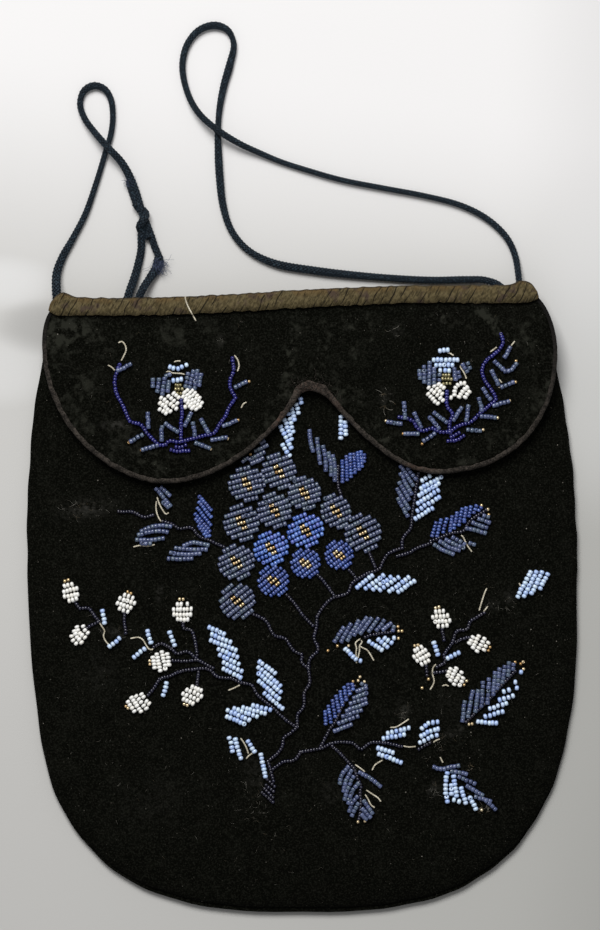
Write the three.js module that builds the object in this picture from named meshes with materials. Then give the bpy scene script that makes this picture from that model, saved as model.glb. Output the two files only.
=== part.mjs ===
// Beaded velvet reticule, lying on its back with its mouth towards +Y. Millimetres, +Z up.
// Two round-bottomed velvet panels are sewn edge to edge and left open at the mouth. A flap with two
// scallops hangs from the mouth over the front, ribbon binds the mouth and the flap's edge, and two
// braided silk cords come out of the mouth and lie on the table.
// The origin is on the table, under the middle of the bag.
import * as THREE from 'three';
import { mergeVertices } from 'three/addons/utils/BufferGeometryUtils.js';

// Sizes of the whole bag
const BAG_LENGTH = 204;
const BAG_WIDTH = 178;
const WIDEST_Y = 3.5;
const BOTTOM_POWER = 2.92;
const SIDE_POWER = { left: 3, right: 2.4 };
const LEFT_DENT = { y: -30, depth: 1.5, spread: 25 };
const FRONT_SHORTER = 1.5;

// Cloth, ribbon and the gap between pieces
const CLOTH = 1;
const PRESSED_CLOTH = 0.6;
const CLEAR = 0.3;

// The mouth: its edge rises from left to right, and the ribbon stands up a little at each corner
const MOUTH_HALF = { left: 78.5, right: 74.5 };
const MOUTH_LEVEL = { left: 96.5, right: 100.6 };
const MOUTH_RISE = { from: -60, to: 45 };
const MOUTH_UNDERSIDE = 8.5;
const MOUTH_DIP = 1.6;
const CORNER_TUCKS = [
  { x: -77.3, rise: 1.6, spread: 3.5 },
  { x: 72, rise: BAG_LENGTH / 2 - MOUTH_LEVEL.right, spread: 3.5 },
];
const BACK_MOUTH_LOWER = 1.6;
const MOUTH_RIBBON = { width: 5.8, wall: 0.8, fold: 1.2, left: -81.8, right: 77.5 };

// Heights of the lying bag
const SEAM_Z = 2;
const CEILING = 6.6;
const CROWN = 0.5;
const DOME_POWER = 5;
const SLIT_LENGTH = 40;
const EDGE_CURL_FROM = 0.86;

// The flap: its edge as curves from the left end of the mouth to the right end
const FLAP_START = { x: -82.7, y: 90 };
const FLAP_EDGE = [
  { stretch: 'left side', leave: [-83.6, 87], arrive: [-83.9, 85], end: [-83.9, 82] },
  { stretch: 'left scallop', leave: [-83.9, 53.5], arrive: [-60.3, 36.5], end: [-44.3, 36.5] },
  { stretch: 'rise to the notch', leave: [-24.3, 36.5], arrive: [-8, 52], end: [-0.9, 67] },
  { stretch: 'notch', leave: [0.4, 69.6], arrive: [4.3, 69.9], end: [6, 67.5] },
  { stretch: 'fall from the notch', leave: [12, 59.5], arrive: [28, 39.6], end: [44, 39.6] },
  { stretch: 'right scallop', leave: [63, 39.6], arrive: [82.4, 51.1], end: [82.4, 79.1] },
  { stretch: 'right side', leave: [82.4, 86], arrive: [81, 90.5], end: [79.3, 94.2] },
];
const FLAP_TOP = { left: -81, right: 76.8 };
const FLAP_HANG = 10.5;
const FLAP_DROOP = 2.6;
const FLAP_LIFT = { from: 5, to: 26 };
const FLAP_FOLDS = [
  { x: -49, lean: 0.1, height: 0.5, spread: 8 },
  { x: 17, lean: -0.5, height: 0.5, spread: 9 },
  { x: 52, lean: -0.7, height: -0.6, spread: 9 },
];
const FLAP_RIBBON = { width: 1.6, wall: 0.6, fold: 0.9 };

// The braided cords, with the points that each one follows from the mouth round to its other end
const CORD_DIAMETER = 2.3;
const LEFT_CORD_ROUTE = [
  [-79.0, 90.5, 4.3], [-79.1, 95.0, 4.3], [-79.4, 99.5, 3.9], [-79.3, 104.5, 2.2], [-77.6, 109.5, 1.3],
  [-74.3, 115.5, 1.25], [-70.1, 123.7, 1.25], [-66.7, 133.4, 1.25], [-63.6, 143.6, 1.25],
  [-61.8, 149.8, 1.25], [-61.2, 155.5, 1.25], [-61.9, 161.0, 1.25], [-64.0, 164.2, 1.25],
  [-67.4, 165.2, 1.25], [-70.6, 163.4, 1.25], [-71.8, 159.4, 1.25], [-70.4, 154.8, 1.7],
  [-67.2, 150.3, 2.9], [-62.8, 145.2, 3.9], [-58.1, 140.0, 2.9], [-54.8, 133.6, 1.6], [-52.4, 126.3, 1.9],
];
const LEFT_END_ROUTE = [
  [-52.0, 117.0, 1.7], [-52.0, 112.5, 1.25], [-53.1, 107.0, 1.25], [-54.3, 102.8, 2.2],
  [-55.6, 99.0, 3.8], [-56.7, 95.0, 4.3], [-57.4, 91.0, 4.3],
];
const TAIL_ROUTE = [
  [-48.9, 117.0, 1.7], [-47.6, 113.0, 1.25], [-46.4, 109.8, 1.25], [-46.8, 106.6, 1.3],
  [-48.9, 103.4, 2.2], [-51.2, 99.8, 3.8], [-53.0, 95.6, 4.3], [-54.0, 91.0, 4.3],
];
const RIGHT_CORD_ROUTE = [
  [70.4, 94.5, 4.3], [70.3, 99.5, 4.2], [69.9, 104.5, 2.6], [69.0, 110.0, 1.3], [66.7, 115.3, 1.25],
  [63.1, 119.5, 1.25], [57.9, 123.4, 1.25], [50.5, 126.8, 1.25], [39.5, 129.6, 1.25], [26.2, 132.1, 1.25],
  [12.9, 134.7, 1.25], [2.9, 137.5, 1.25], [-6.8, 140.6, 1.25], [-13.6, 143.4, 1.7], [-20.4, 146.5, 2.9],
  [-27.2, 150.7, 3.9], [-33.3, 156.2, 2.9], [-36.9, 162.6, 1.6], [-38.7, 171.6, 1.25],
  [-37.1, 178.6, 1.25], [-33.2, 183.2, 1.25], [-28.4, 184.7, 1.25], [-24.1, 183.2, 1.25],
  [-22.1, 178.9, 1.25], [-23.3, 172.3, 1.25], [-25.3, 165.2, 1.25], [-26.7, 157.7, 1.25],
  [-27.2, 150.7, 1.25], [-27.1, 144.4, 1.25], [-26.6, 135.4, 1.25], [-25.5, 126.3, 1.25],
  [-22.9, 118.5, 1.25], [-17.8, 112.3, 1.25], [-9.4, 107.9, 1.25], [4.0, 105.4, 1.25], [23.0, 103.4, 1.25],
  [42.1, 102.3, 1.25], [53.0, 102.5, 1.35], [59.6, 102.2, 2.6], [64.4, 100.0, 4.1], [66.4, 94.5, 4.3],
];
const CORD_STEPS = { left: 23, leftEnd: 6, tail: 6, right: 45 };
const KNOT = { middle: [-50.9, 121.55, 2.3], length: 7.8, lean: 0.16 };
const KNOT_PROFILE = [
  { along: -0.5, radius: 1.9 },
  { along: -0.3, radius: 2.2 },
  { along: -0.02, radius: 1.75 },
  { along: 0.25, radius: 2.2 },
  { along: 0.5, radius: 1.3 },
];

// How finely each piece is faceted
const PANEL_GRID = { half: 8, rows: 24, roundShare: 0.55 };
const FLAP_GRID = { columns: 60, rows: 6 };
const MOUTH_STATIONS = 26;

const VELVET = new THREE.MeshStandardMaterial({ color: 0x14130f, roughness: 0.95, metalness: 0 });
const MOUTH_SILK = new THREE.MeshStandardMaterial({ color: 0x554832, roughness: 0.7, metalness: 0 });
const EDGE_SILK = new THREE.MeshStandardMaterial({ color: 0x2f2722, roughness: 0.75, metalness: 0 });
const CORD_SILK = new THREE.MeshStandardMaterial({ color: 0x1a2230, roughness: 0.65, metalness: 0 });

const { lerp, smoothstep } = THREE.MathUtils;
const WIDEST_HALF = BAG_WIDTH / 2;
const BOTTOM_DEPTH = BAG_LENGTH / 2 + WIDEST_Y;

// A hump of a given spread around zero.
function hump(distance, spread) {
  return Math.exp(-((distance / spread) ** 2));
}

// A closed body from faces that share corners, with the faces that have no area left out.
function closedBody(corners, faces) {
  const loose = new THREE.BufferGeometry();
  loose.setAttribute('position', new THREE.Float32BufferAttribute(corners.flat(), 3));
  loose.setIndex(faces.flat());
  const body = mergeVertices(loose, 1e-3);
  const kept = [];
  const index = body.index.array;
  for (let i = 0; i < index.length; i += 3) {
    const [a, b, c] = [index[i], index[i + 1], index[i + 2]];
    if (a !== b && b !== c && c !== a) kept.push(a, b, c);
  }
  body.setIndex(kept);
  body.computeVertexNormals();
  return body;
}

// A sheet of cloth between a top and an under surface, closed along its edges. Where the start of
// the sheet folds onto itself, it needs no edge there.
function clothBody(top, under, columns, rows, startIsFolded) {
  const corners = [];
  const faces = [];
  const place = (layer, i, j) => (layer * (rows + 1) + j) * (columns + 1) + i;
  const quad = (a, b, c, d) => faces.push([a, b, c], [a, c, d]);
  for (const surface of [top, under]) {
    for (let j = 0; j <= rows; j++) {
      for (let i = 0; i <= columns; i++) corners.push(surface(i / columns, j / rows));
    }
  }
  for (let j = 0; j < rows; j++) {
    for (let i = 0; i < columns; i++) {
      quad(place(0, i, j), place(0, i + 1, j), place(0, i + 1, j + 1), place(0, i, j + 1));
      quad(place(1, i, j), place(1, i, j + 1), place(1, i + 1, j + 1), place(1, i + 1, j));
    }
    quad(place(0, 0, j), place(0, 0, j + 1), place(1, 0, j + 1), place(1, 0, j));
    quad(place(0, columns, j), place(1, columns, j), place(1, columns, j + 1), place(0, columns, j + 1));
  }
  for (let i = 0; i < columns; i++) {
    quad(place(0, i, rows), place(0, i + 1, rows), place(1, i + 1, rows), place(1, i, rows));
    if (!startIsFolded) quad(place(0, i, 0), place(1, i, 0), place(1, i + 1, 0), place(0, i + 1, 0));
  }
  return closedBody(corners, faces);
}

// A closed section carried along stations, each with its own middle and its out and up directions,
// where out, up and the way along make a right-handed set.
function stripBody(stations, sections) {
  const corners = [];
  const faces = [];
  const count = sections[0].length;
  stations.forEach(({ middle, out, up }, s) => {
    for (const [outward, upward] of sections[s]) {
      const point = middle.clone().addScaledVector(out, outward).addScaledVector(up, upward);
      corners.push(point.toArray());
    }
  });
  for (let s = 0; s + 1 < stations.length; s++) {
    for (let k = 0; k < count; k++) {
      const next = (k + 1) % count;
      const [a, b] = [s * count + k, s * count + next];
      faces.push([a, b, b + count], [a, b + count, a + count]);
    }
  }
  const outline = sections[0].map(([outward, upward]) => new THREE.Vector2(outward, upward));
  const last = (stations.length - 1) * count;
  for (const triangle of THREE.ShapeUtils.triangulateShape(outline, [])) {
    const isReversed = THREE.ShapeUtils.isClockWise(triangle.map((k) => outline[k]));
    const [a, b, c] = isReversed ? triangle.toReversed() : triangle;
    faces.push([a, c, b], [last + a, last + b, last + c]);
  }
  return closedBody(corners, faces);
}

// A ribbon folded round an edge, seen from its end: out is away from the cloth, up across it.
function foldedRibbon({ width, wall, fold }, slot, stretch) {
  const half = slot / 2 + wall;
  const outline = [];
  for (const turn of [-90, -45, 0, 45, 90]) {
    const angle = THREE.MathUtils.degToRad(turn);
    outline.push([stretch - fold + fold * Math.cos(angle), half * Math.sin(angle)]);
  }
  return [
    [-width, -half],
    ...outline,
    [-width, half],
    [-width, slot / 2],
    [stretch - wall, slot / 2],
    [stretch - wall, -slot / 2],
    [-width, -slot / 2],
  ];
}

// The upper edge of the bag at x, without its ribbon's tucks.
function mouthY(x) {
  return lerp(MOUTH_LEVEL.left, MOUTH_LEVEL.right, smoothstep(x, MOUTH_RISE.from, MOUTH_RISE.to));
}

// The underside of the front panel where the ribbon holds it.
function mouthUnderside(x) {
  return MOUTH_UNDERSIDE - MOUTH_DIP * Math.abs(x / MOUTH_HALF.left) ** 3;
}

// How thick a sheet is, this far below the mouth: the ribbon's stitching presses it thin.
function clothAt(below) {
  return lerp(PRESSED_CLOTH, CLOTH, smoothstep(below, MOUTH_RIBBON.width, 2.4 * MOUTH_RIBBON.width));
}

// A place on a panel. across runs from the left edge at 0 to the right edge at 1, along from the
// bottom at 0 to the mouth at 1, and reach says how far out towards the edge the place is.
function panelPlace(across, along, { inset, shorter, mouthLower }) {
  const isLeft = across < 0.5;
  const side = isLeft ? -1 : 1;
  const reach = Math.sin(Math.abs(across - 0.5) * Math.PI);
  const { roundShare } = PANEL_GRID;
  let x;
  let y;
  if (along < roundShare) {
    const turn = (along / roundShare) * (Math.PI / 2);
    const power = 2 / BOTTOM_POWER;
    x = side * reach * (WIDEST_HALF - inset) * Math.sin(turn) ** power;
    y = WIDEST_Y - reach * (BOTTOM_DEPTH - shorter - inset) * Math.cos(turn) ** power;
  } else {
    const climb = (along - roundShare) / (1 - roundShare);
    const hand = isLeft ? 'left' : 'right';
    const drawnIn = (WIDEST_HALF - MOUTH_HALF[hand]) * climb ** SIDE_POWER[hand];
    x = side * reach * (WIDEST_HALF - drawnIn - inset);
    y = lerp(WIDEST_Y, mouthY(x) - mouthLower, climb);
  }
  if (x < 0) x += reach ** 2 * LEFT_DENT.depth * hump(y - LEFT_DENT.y, LEFT_DENT.spread);
  return { x, y, reach };
}

// The front is domed over the hollow, and lies almost level where the mouth holds it open.
function frontPanel() {
  const ribbonTop = MOUTH_RIBBON.wall + CLEAR;
  const shared = { shorter: FRONT_SHORTER, mouthLower: ribbonTop };
  const seam = SEAM_Z + CLEAR / 2;
  const height = ({ x, y, reach }, isTop) => {
    const below = mouthY(x) - y;
    const cloth = isTop ? clothAt(below) : 0;
    const dome = Math.sqrt(Math.max(0, 1 - reach ** DOME_POWER));
    const body = seam + (CEILING + cloth - seam) * dome + CROWN * (1 - reach ** 2);
    return lerp(mouthUnderside(x) + cloth, body, smoothstep(below, MOUTH_RIBBON.width, SLIT_LENGTH));
  };
  const surface = (isTop) => (across, along) => {
    const place = panelPlace(across, along, { ...shared, inset: isTop ? 0 : CLOTH });
    return [place.x, place.y, height(place, isTop)];
  };
  return clothBody(surface(true), surface(false), 2 * PANEL_GRID.half, PANEL_GRID.rows, true);
}

// The back lies flat on the table, curls up to the seam at its edge and lifts into its ribbon.
function backPanel() {
  const mouthLower = BACK_MOUTH_LOWER + MOUTH_RIBBON.wall + CLEAR;
  const seam = SEAM_Z - CLEAR / 2;
  const surface = (isTop) => (across, along) => {
    const { x, y, reach } = panelPlace(across, along, { inset: 0, shorter: 0, mouthLower });
    const below = mouthY(x) - BACK_MOUTH_LOWER - y;
    const cloth = isTop ? clothAt(below) : 0;
    const held = 1 - smoothstep(below, MOUTH_RIBBON.width, 3 * MOUTH_RIBBON.width);
    const curl = (seam - CLOTH) * smoothstep(reach, EDGE_CURL_FROM, 1);
    return [x, y, lerp(curl, MOUTH_RIBBON.wall + CLEAR, held) + cloth];
  };
  return clothBody(surface(true), surface(false), 2 * PANEL_GRID.half, PANEL_GRID.rows, true);
}

// The flap's outer edge, ribbon and all, as one run of curves.
function flapOutline() {
  const outline = new THREE.Path().moveTo(FLAP_START.x, FLAP_START.y);
  for (const { leave, arrive, end } of FLAP_EDGE) outline.bezierCurveTo(...leave, ...arrive, ...end);
  return outline;
}

// A point of the flap's edge, and the level direction that leads out of the flap there.
function flapEdgeAt(outline, share) {
  const tangent = outline.getTangentAt(share);
  return { point: outline.getPointAt(share), out: new THREE.Vector2(tangent.y, -tangent.x) };
}

// The underside of the flap, which lifts off the front below the mouth to clear the beads.
function flapUnderside(x, y) {
  const below = mouthY(x) - y;
  const held = mouthUnderside(x) + PRESSED_CLOTH + CLEAR;
  const free = FLAP_HANG - FLAP_DROOP * (x / WIDEST_HALF) ** 4;
  const lifted = smoothstep(below, FLAP_LIFT.from, FLAP_LIFT.to);
  const folds = FLAP_FOLDS.map((fold) => fold.height * hump(x - fold.x - fold.lean * below, fold.spread));
  return lerp(held, free, lifted) + lifted * folds.reduce((sum, fold) => sum + fold, 0);
}

function flap() {
  const outline = flapOutline();
  const edgeInset = FLAP_RIBBON.wall + CLEAR;
  const surface = (isTop) => (share, down) => {
    const edge = flapEdgeAt(outline, share);
    const topX = lerp(FLAP_TOP.left, FLAP_TOP.right, share);
    const topY = mouthY(topX) - MOUTH_RIBBON.wall - CLEAR;
    const x = lerp(edge.point.x - edgeInset * edge.out.x, topX, down);
    const y = lerp(edge.point.y - edgeInset * edge.out.y, topY, down);
    return [x, y, flapUnderside(x, y) + (isTop ? clothAt(mouthY(x) - y) : 0)];
  };
  return clothBody(surface(true), surface(false), FLAP_GRID.columns, FLAP_GRID.rows, false);
}

function flapBinding() {
  const outline = flapOutline();
  const stations = [];
  const sections = [];
  for (let s = 0; s <= FLAP_GRID.columns; s++) {
    const { point, out } = flapEdgeAt(outline, s / FLAP_GRID.columns);
    const edgeInset = FLAP_RIBBON.wall + CLEAR;
    const [edgeX, edgeY] = [point.x - edgeInset * out.x, point.y - edgeInset * out.y];
    const cloth = clothAt(mouthY(edgeX) - edgeY);
    stations.push({
      middle: new THREE.Vector3(point.x, point.y, flapUnderside(edgeX, edgeY) + cloth / 2),
      out: new THREE.Vector3(out.x, out.y, 0),
      up: new THREE.Vector3(0, 0, -1),
    });
    sections.push(foldedRibbon(FLAP_RIBBON, CLOTH + 2 * CLEAR, 0));
  }
  return stripBody(stations, sections);
}

// A ribbon folded over one edge of the mouth, from corner to corner.
function mouthBinding(lower, slot, middleZ, tucks) {
  const stations = [];
  const sections = [];
  for (let s = 0; s <= MOUTH_STATIONS; s++) {
    const x = lerp(MOUTH_RIBBON.left, MOUTH_RIBBON.right, s / MOUTH_STATIONS);
    const stretch = tucks.reduce((sum, tuck) => sum + tuck.rise * hump(x - tuck.x, tuck.spread), 0);
    stations.push({
      middle: new THREE.Vector3(x, mouthY(x) - lower, middleZ(x)),
      out: new THREE.Vector3(0, 1, 0),
      up: new THREE.Vector3(0, 0, 1),
    });
    sections.push(foldedRibbon(MOUTH_RIBBON, slot, stretch));
  }
  return stripBody(stations, sections);
}

function frontMouthBinding() {
  const layers = 2 * PRESSED_CLOTH + CLEAR;
  return mouthBinding(0, layers + 2 * CLEAR, (x) => mouthUnderside(x) + layers / 2, CORNER_TUCKS);
}

function backMouthBinding() {
  const slot = PRESSED_CLOTH + 2 * CLEAR;
  return mouthBinding(BACK_MOUTH_LOWER, slot, () => MOUTH_RIBBON.wall + slot / 2, []);
}

// A braided cord along its route, eight-sided.
function cord(route, steps) {
  const path = new THREE.CatmullRomCurve3(route.map((point) => new THREE.Vector3(...point)));
  const section = new THREE.Shape();
  for (let side = 0; side < 8; side++) {
    const angle = (side * Math.PI) / 4;
    const [x, y] = [Math.cos(angle), Math.sin(angle)].map((part) => (part * CORD_DIAMETER) / 2);
    if (side === 0) section.moveTo(x, y);
    else section.lineTo(x, y);
  }
  return new THREE.ExtrudeGeometry(section, { steps, extrudePath: path, bevelEnabled: false });
}

// The knot, drawn tight round the cord in two turns.
function cordKnot() {
  const profile = KNOT_PROFILE.map(({ along, radius }) => new THREE.Vector2(radius, along * KNOT.length));
  const [start, end] = [KNOT_PROFILE[0], KNOT_PROFILE.at(-1)];
  profile.unshift(new THREE.Vector2(0, start.along * KNOT.length));
  profile.push(new THREE.Vector2(0, end.along * KNOT.length));
  return new THREE.LatheGeometry(profile, 12);
}

const reticule = new THREE.Group();

function addPiece(name, geometry, material) {
  const piece = new THREE.Mesh(geometry, material);
  piece.name = name;
  reticule.add(piece);
  return piece;
}

addPiece('back_panel', backPanel(), VELVET);
addPiece('front_panel', frontPanel(), VELVET);
addPiece('flap', flap(), VELVET);
addPiece('flap_binding', flapBinding(), EDGE_SILK);
addPiece('mouth_binding_front', frontMouthBinding(), MOUTH_SILK);
addPiece('mouth_binding_back', backMouthBinding(), MOUTH_SILK);
addPiece('cord_left', cord(LEFT_CORD_ROUTE, CORD_STEPS.left), CORD_SILK);
addPiece('cord_left_end', cord(LEFT_END_ROUTE, CORD_STEPS.leftEnd), CORD_SILK);
addPiece('cord_tail', cord(TAIL_ROUTE, CORD_STEPS.tail), CORD_SILK);
addPiece('cord_right', cord(RIGHT_CORD_ROUTE, CORD_STEPS.right), CORD_SILK);
const knot = addPiece('cord_knot', cordKnot(), CORD_SILK);
knot.position.set(...KNOT.middle);
knot.rotation.z = KNOT.lean;

export default reticule;
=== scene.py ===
import math
from collections import namedtuple

import bmesh
import bpy
import numpy as np
from mathutils import Matrix, Vector
from mathutils.bvhtree import BVHTree


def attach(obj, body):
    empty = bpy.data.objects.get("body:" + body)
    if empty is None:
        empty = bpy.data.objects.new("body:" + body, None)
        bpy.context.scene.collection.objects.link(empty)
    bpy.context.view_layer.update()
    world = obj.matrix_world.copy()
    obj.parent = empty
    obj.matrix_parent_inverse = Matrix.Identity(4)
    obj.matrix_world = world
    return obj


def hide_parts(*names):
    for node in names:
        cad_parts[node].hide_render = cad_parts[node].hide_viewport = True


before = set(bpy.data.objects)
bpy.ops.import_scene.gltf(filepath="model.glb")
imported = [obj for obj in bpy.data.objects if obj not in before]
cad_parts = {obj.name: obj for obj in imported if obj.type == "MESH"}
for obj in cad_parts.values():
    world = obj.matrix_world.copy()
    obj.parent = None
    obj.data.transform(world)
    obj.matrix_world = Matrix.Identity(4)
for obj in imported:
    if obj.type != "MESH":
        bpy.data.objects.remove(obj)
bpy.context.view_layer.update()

# The table is a pale board, painted greyer towards the front and the right as painted falloff of light, with
# painted light and painted shadow by the corners of the mouth. One soft window beyond the mouth lights it,
# the room fills the shadows, and the camera hangs straight above.
MM = 0.001  # sizes here are millimetres, and Blender's are metres
BAG_WIDTH = 178
PIXEL = BAG_WIDTH / 550  # the bag is 550 pixels wide in the photograph
PHOTO_TALL = 930  # pixels
PHOTO_MIDDLE = (300, 465)  # pixel
ORIGIN_PIXEL = (302, 596.3)  # the pixel that shows the middle of the bag's box
CAMERA_HEIGHT = 3000
SENSOR = 36
TABLE_HALF = 4000
TABLE_FAR = (0.922, 0.907, 0.898)
TABLE_LEFT = (0.65, 0.64, 0.615)
TABLE_RIGHT = (0.555, 0.55, 0.52)
TABLE_TURNS = (-95, 100)  # x from where to where the left's tone turns to the right's
TABLE_PALES = {"slant": 0.15, "from": 70, "to": 168}  # y where it turns to the far tone
TABLE_NEAR = {"share": 0.11, "from": -105, "to": 85}  # how much darker its near end is
TABLE_DIM = {"share": 0.11, "from": 60, "to": 105}  # how much darker its right is
LIGHT = (1, 1, 1)
SHADE = (0, 0, 0)
PaintedPatch = namedtuple("PaintedPatch", "px py wide tall share tone")  # middle and half sizes in pixels
# painted light and painted shadow on the table by the corners of the mouth
PAINTED_PATCHES = [
    PaintedPatch(-6, 283, 78, 32, 0.34, LIGHT),
    PaintedPatch(-6, 371, 84, 42, 0.24, LIGHT),
    PaintedPatch(44, 327, 56, 32, 0.22, SHADE),
    PaintedPatch(606, 355, 100, 190, 0.25, LIGHT),
]
WINDOW = {"place": (-330, 1200, 1500), "aim": (0, 30, 0), "side": 1000, "watts": 34}
ROOM_LIGHT = (0.26, 0.262, 0.268)
CAMERA_X = (PHOTO_MIDDLE[0] - ORIGIN_PIXEL[0]) * PIXEL
CAMERA_Y = (ORIGIN_PIXEL[1] - PHOTO_MIDDLE[1]) * PIXEL


def from_photo(px, py, height):
    """The place, this high above the table, that the photograph shows at a pixel."""
    scale = PIXEL * (1 - height / CAMERA_HEIGHT)
    x = CAMERA_X + (px - PHOTO_MIDDLE[0]) * scale
    y = CAMERA_Y + (PHOTO_MIDDLE[1] - py) * scale
    return x, y


class Shade:
    """A value in a finish's nodes: sums and products of values add Math nodes, node() any other kind."""

    def __init__(self, tree, socket=None):
        self.tree = tree
        self.socket = socket

    def node(self, kind, settings, sockets, output=0):
        made = self.tree.nodes.new("ShaderNode" + kind)
        for name, value in settings.items():
            setattr(made, name, value)
        for name, value in sockets.items():
            if isinstance(value, Shade):
                self.tree.links.new(value.socket, made.inputs[name])
            else:
                made.inputs[name].default_value = value
        return Shade(self.tree, made.outputs[output])

    def maths(self, operation, first, second):
        return self.node("Math", {"operation": operation}, {0: first, 1: second})

    def __add__(self, other):
        return self.maths("ADD", self, other)

    def __sub__(self, other):
        return self.maths("SUBTRACT", self, other)

    def __rsub__(self, other):
        return self.maths("SUBTRACT", other, self)

    def __mul__(self, other):
        return self.maths("MULTIPLY", self, other)

    __radd__ = __add__
    __rmul__ = __mul__

    def between(self, low, high):
        """0 where the value is under low, 1 where it is over high, and smooth between them."""
        sockets = {"Value": self, "From Min": low, "From Max": high}
        return self.node("MapRange", {"interpolation_type": "SMOOTHSTEP"}, sockets)

    def colour(self, none, full):
        """The colour none where the value is 0, and full where it is 1. Either may be a colour's Shade."""
        ends = [end if isinstance(end, Shade) else (*end, 1) for end in (none, full)]
        return self.node("Mix", {"data_type": "RGBA"}, {0: self, 6: ends[0], 7: ends[1]}, output=2)

    def place(self, axis):
        """The place along an axis in millimetres, fixed to the bag."""
        vector = self.node("TexCoord", {}, {}, output="Object")
        return self.node("SeparateXYZ", {}, {"Vector": vector}, output=axis) * (1 / MM)

    def noise(self, size, detail=2, turn=0, stretch=1):
        """Cloudy noise of this grain in millimetres, drawn out along a line turned by this many degrees."""
        vector = self.node("TexCoord", {}, {}, output="Object")
        sockets = {"Vector": vector, "Rotation": (0, 0, math.radians(turn)), "Scale": (stretch, 1, 1)}
        vector = self.node("Mapping", {"vector_type": "TEXTURE"}, sockets)
        return self.node("TexNoise", {}, {"Vector": vector, "Scale": 1 / (size * MM), "Detail": detail})

    def feed(self, shader, name):
        self.tree.links.new(self.socket, shader.inputs[name])

    def raise_nap(self, shader, height):
        """Feeds this value to the shader's normal as a relief of this height in millimetres."""
        bump = self.node("Bump", {}, {"Height": self, "Distance": height * MM}, output="Normal")
        bump.feed(shader, "Normal")


def new_finish(name, **constants):
    """A material with these constant values on its shader, the shader, and a Shade to start its nodes."""
    finish = bpy.data.materials.new(name)
    finish.use_nodes = True
    shader = finish.node_tree.nodes["Principled BSDF"]
    for socket, value in constants.items():
        shader.inputs[socket.replace("_", " ")].default_value = value
    return finish, shader, Shade(finish.node_tree)


table_finish, shader, start = new_finish("table_board", Roughness=0.9, Specular_IOR_Level=0.1)
across, along = start.place("X"), start.place("Y")
# painted light falloff: the board is painted darker towards the front and the right
board = across.between(*TABLE_TURNS).colour(TABLE_LEFT, TABLE_RIGHT)
near = (1 - along.between(TABLE_NEAR["from"], TABLE_NEAR["to"])) * TABLE_NEAR["share"]
away = (along + TABLE_PALES["slant"] * across).between(TABLE_PALES["from"], TABLE_PALES["to"])
board = away.colour(near.colour(board, SHADE), TABLE_FAR)
board = (TABLE_DIM["share"] * across.between(TABLE_DIM["from"], TABLE_DIM["to"])).colour(board, SHADE)
# paints each patch of light or shadow into the board's colour
for painted_patch in PAINTED_PATCHES:
    x, y = from_photo(painted_patch.px, painted_patch.py, 0)
    far_x = (across - x) * (1 / (painted_patch.wide * PIXEL))
    far_y = (along - y) * (1 / (painted_patch.tall * PIXEL))
    patch_share = 1 - (far_x * far_x + far_y * far_y).between(0, 1)
    board = (painted_patch.share * patch_share).colour(board, painted_patch.tone)
board.feed(shader, "Base Color")
start.noise(0.6).raise_nap(shader, 0.02)
table_mesh = bpy.data.meshes.new("table")
corners = [(x * TABLE_HALF * MM, y * TABLE_HALF * MM, 0) for x, y in ((-1, -1), (1, -1), (1, 1), (-1, 1))]
table_mesh.from_pydata(corners, [], [(0, 1, 2, 3)])
table_mesh.materials.append(table_finish)
table = bpy.data.objects.new("table", table_mesh)
bpy.context.scene.collection.objects.link(table)

window = bpy.data.objects.new("window", bpy.data.lights.new("window", "AREA"))
window.data.size = WINDOW["side"] * MM
window.data.energy = WINDOW["watts"]
window.location = Vector(WINDOW["place"]) * MM
window.rotation_euler = (Vector(WINDOW["aim"]) - Vector(WINDOW["place"])).to_track_quat("-Z", "Y").to_euler()
bpy.context.scene.collection.objects.link(window)
room = bpy.data.worlds.new("room")
room.use_nodes = True
room.node_tree.nodes["Background"].inputs["Color"].default_value = (*ROOM_LIGHT, 1)
bpy.context.scene.world = room

camera = bpy.data.objects.new("camera", bpy.data.cameras.new("camera"))
camera.data.sensor_width = SENSOR
camera.data.lens = SENSOR * CAMERA_HEIGHT / (PHOTO_TALL * PIXEL)
camera.location = Vector((CAMERA_X, CAMERA_Y, CAMERA_HEIGHT)) * MM
bpy.context.scene.collection.objects.link(camera)
bpy.context.scene.camera = camera
bpy.context.scene.view_settings.view_transform = "Standard"

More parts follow.
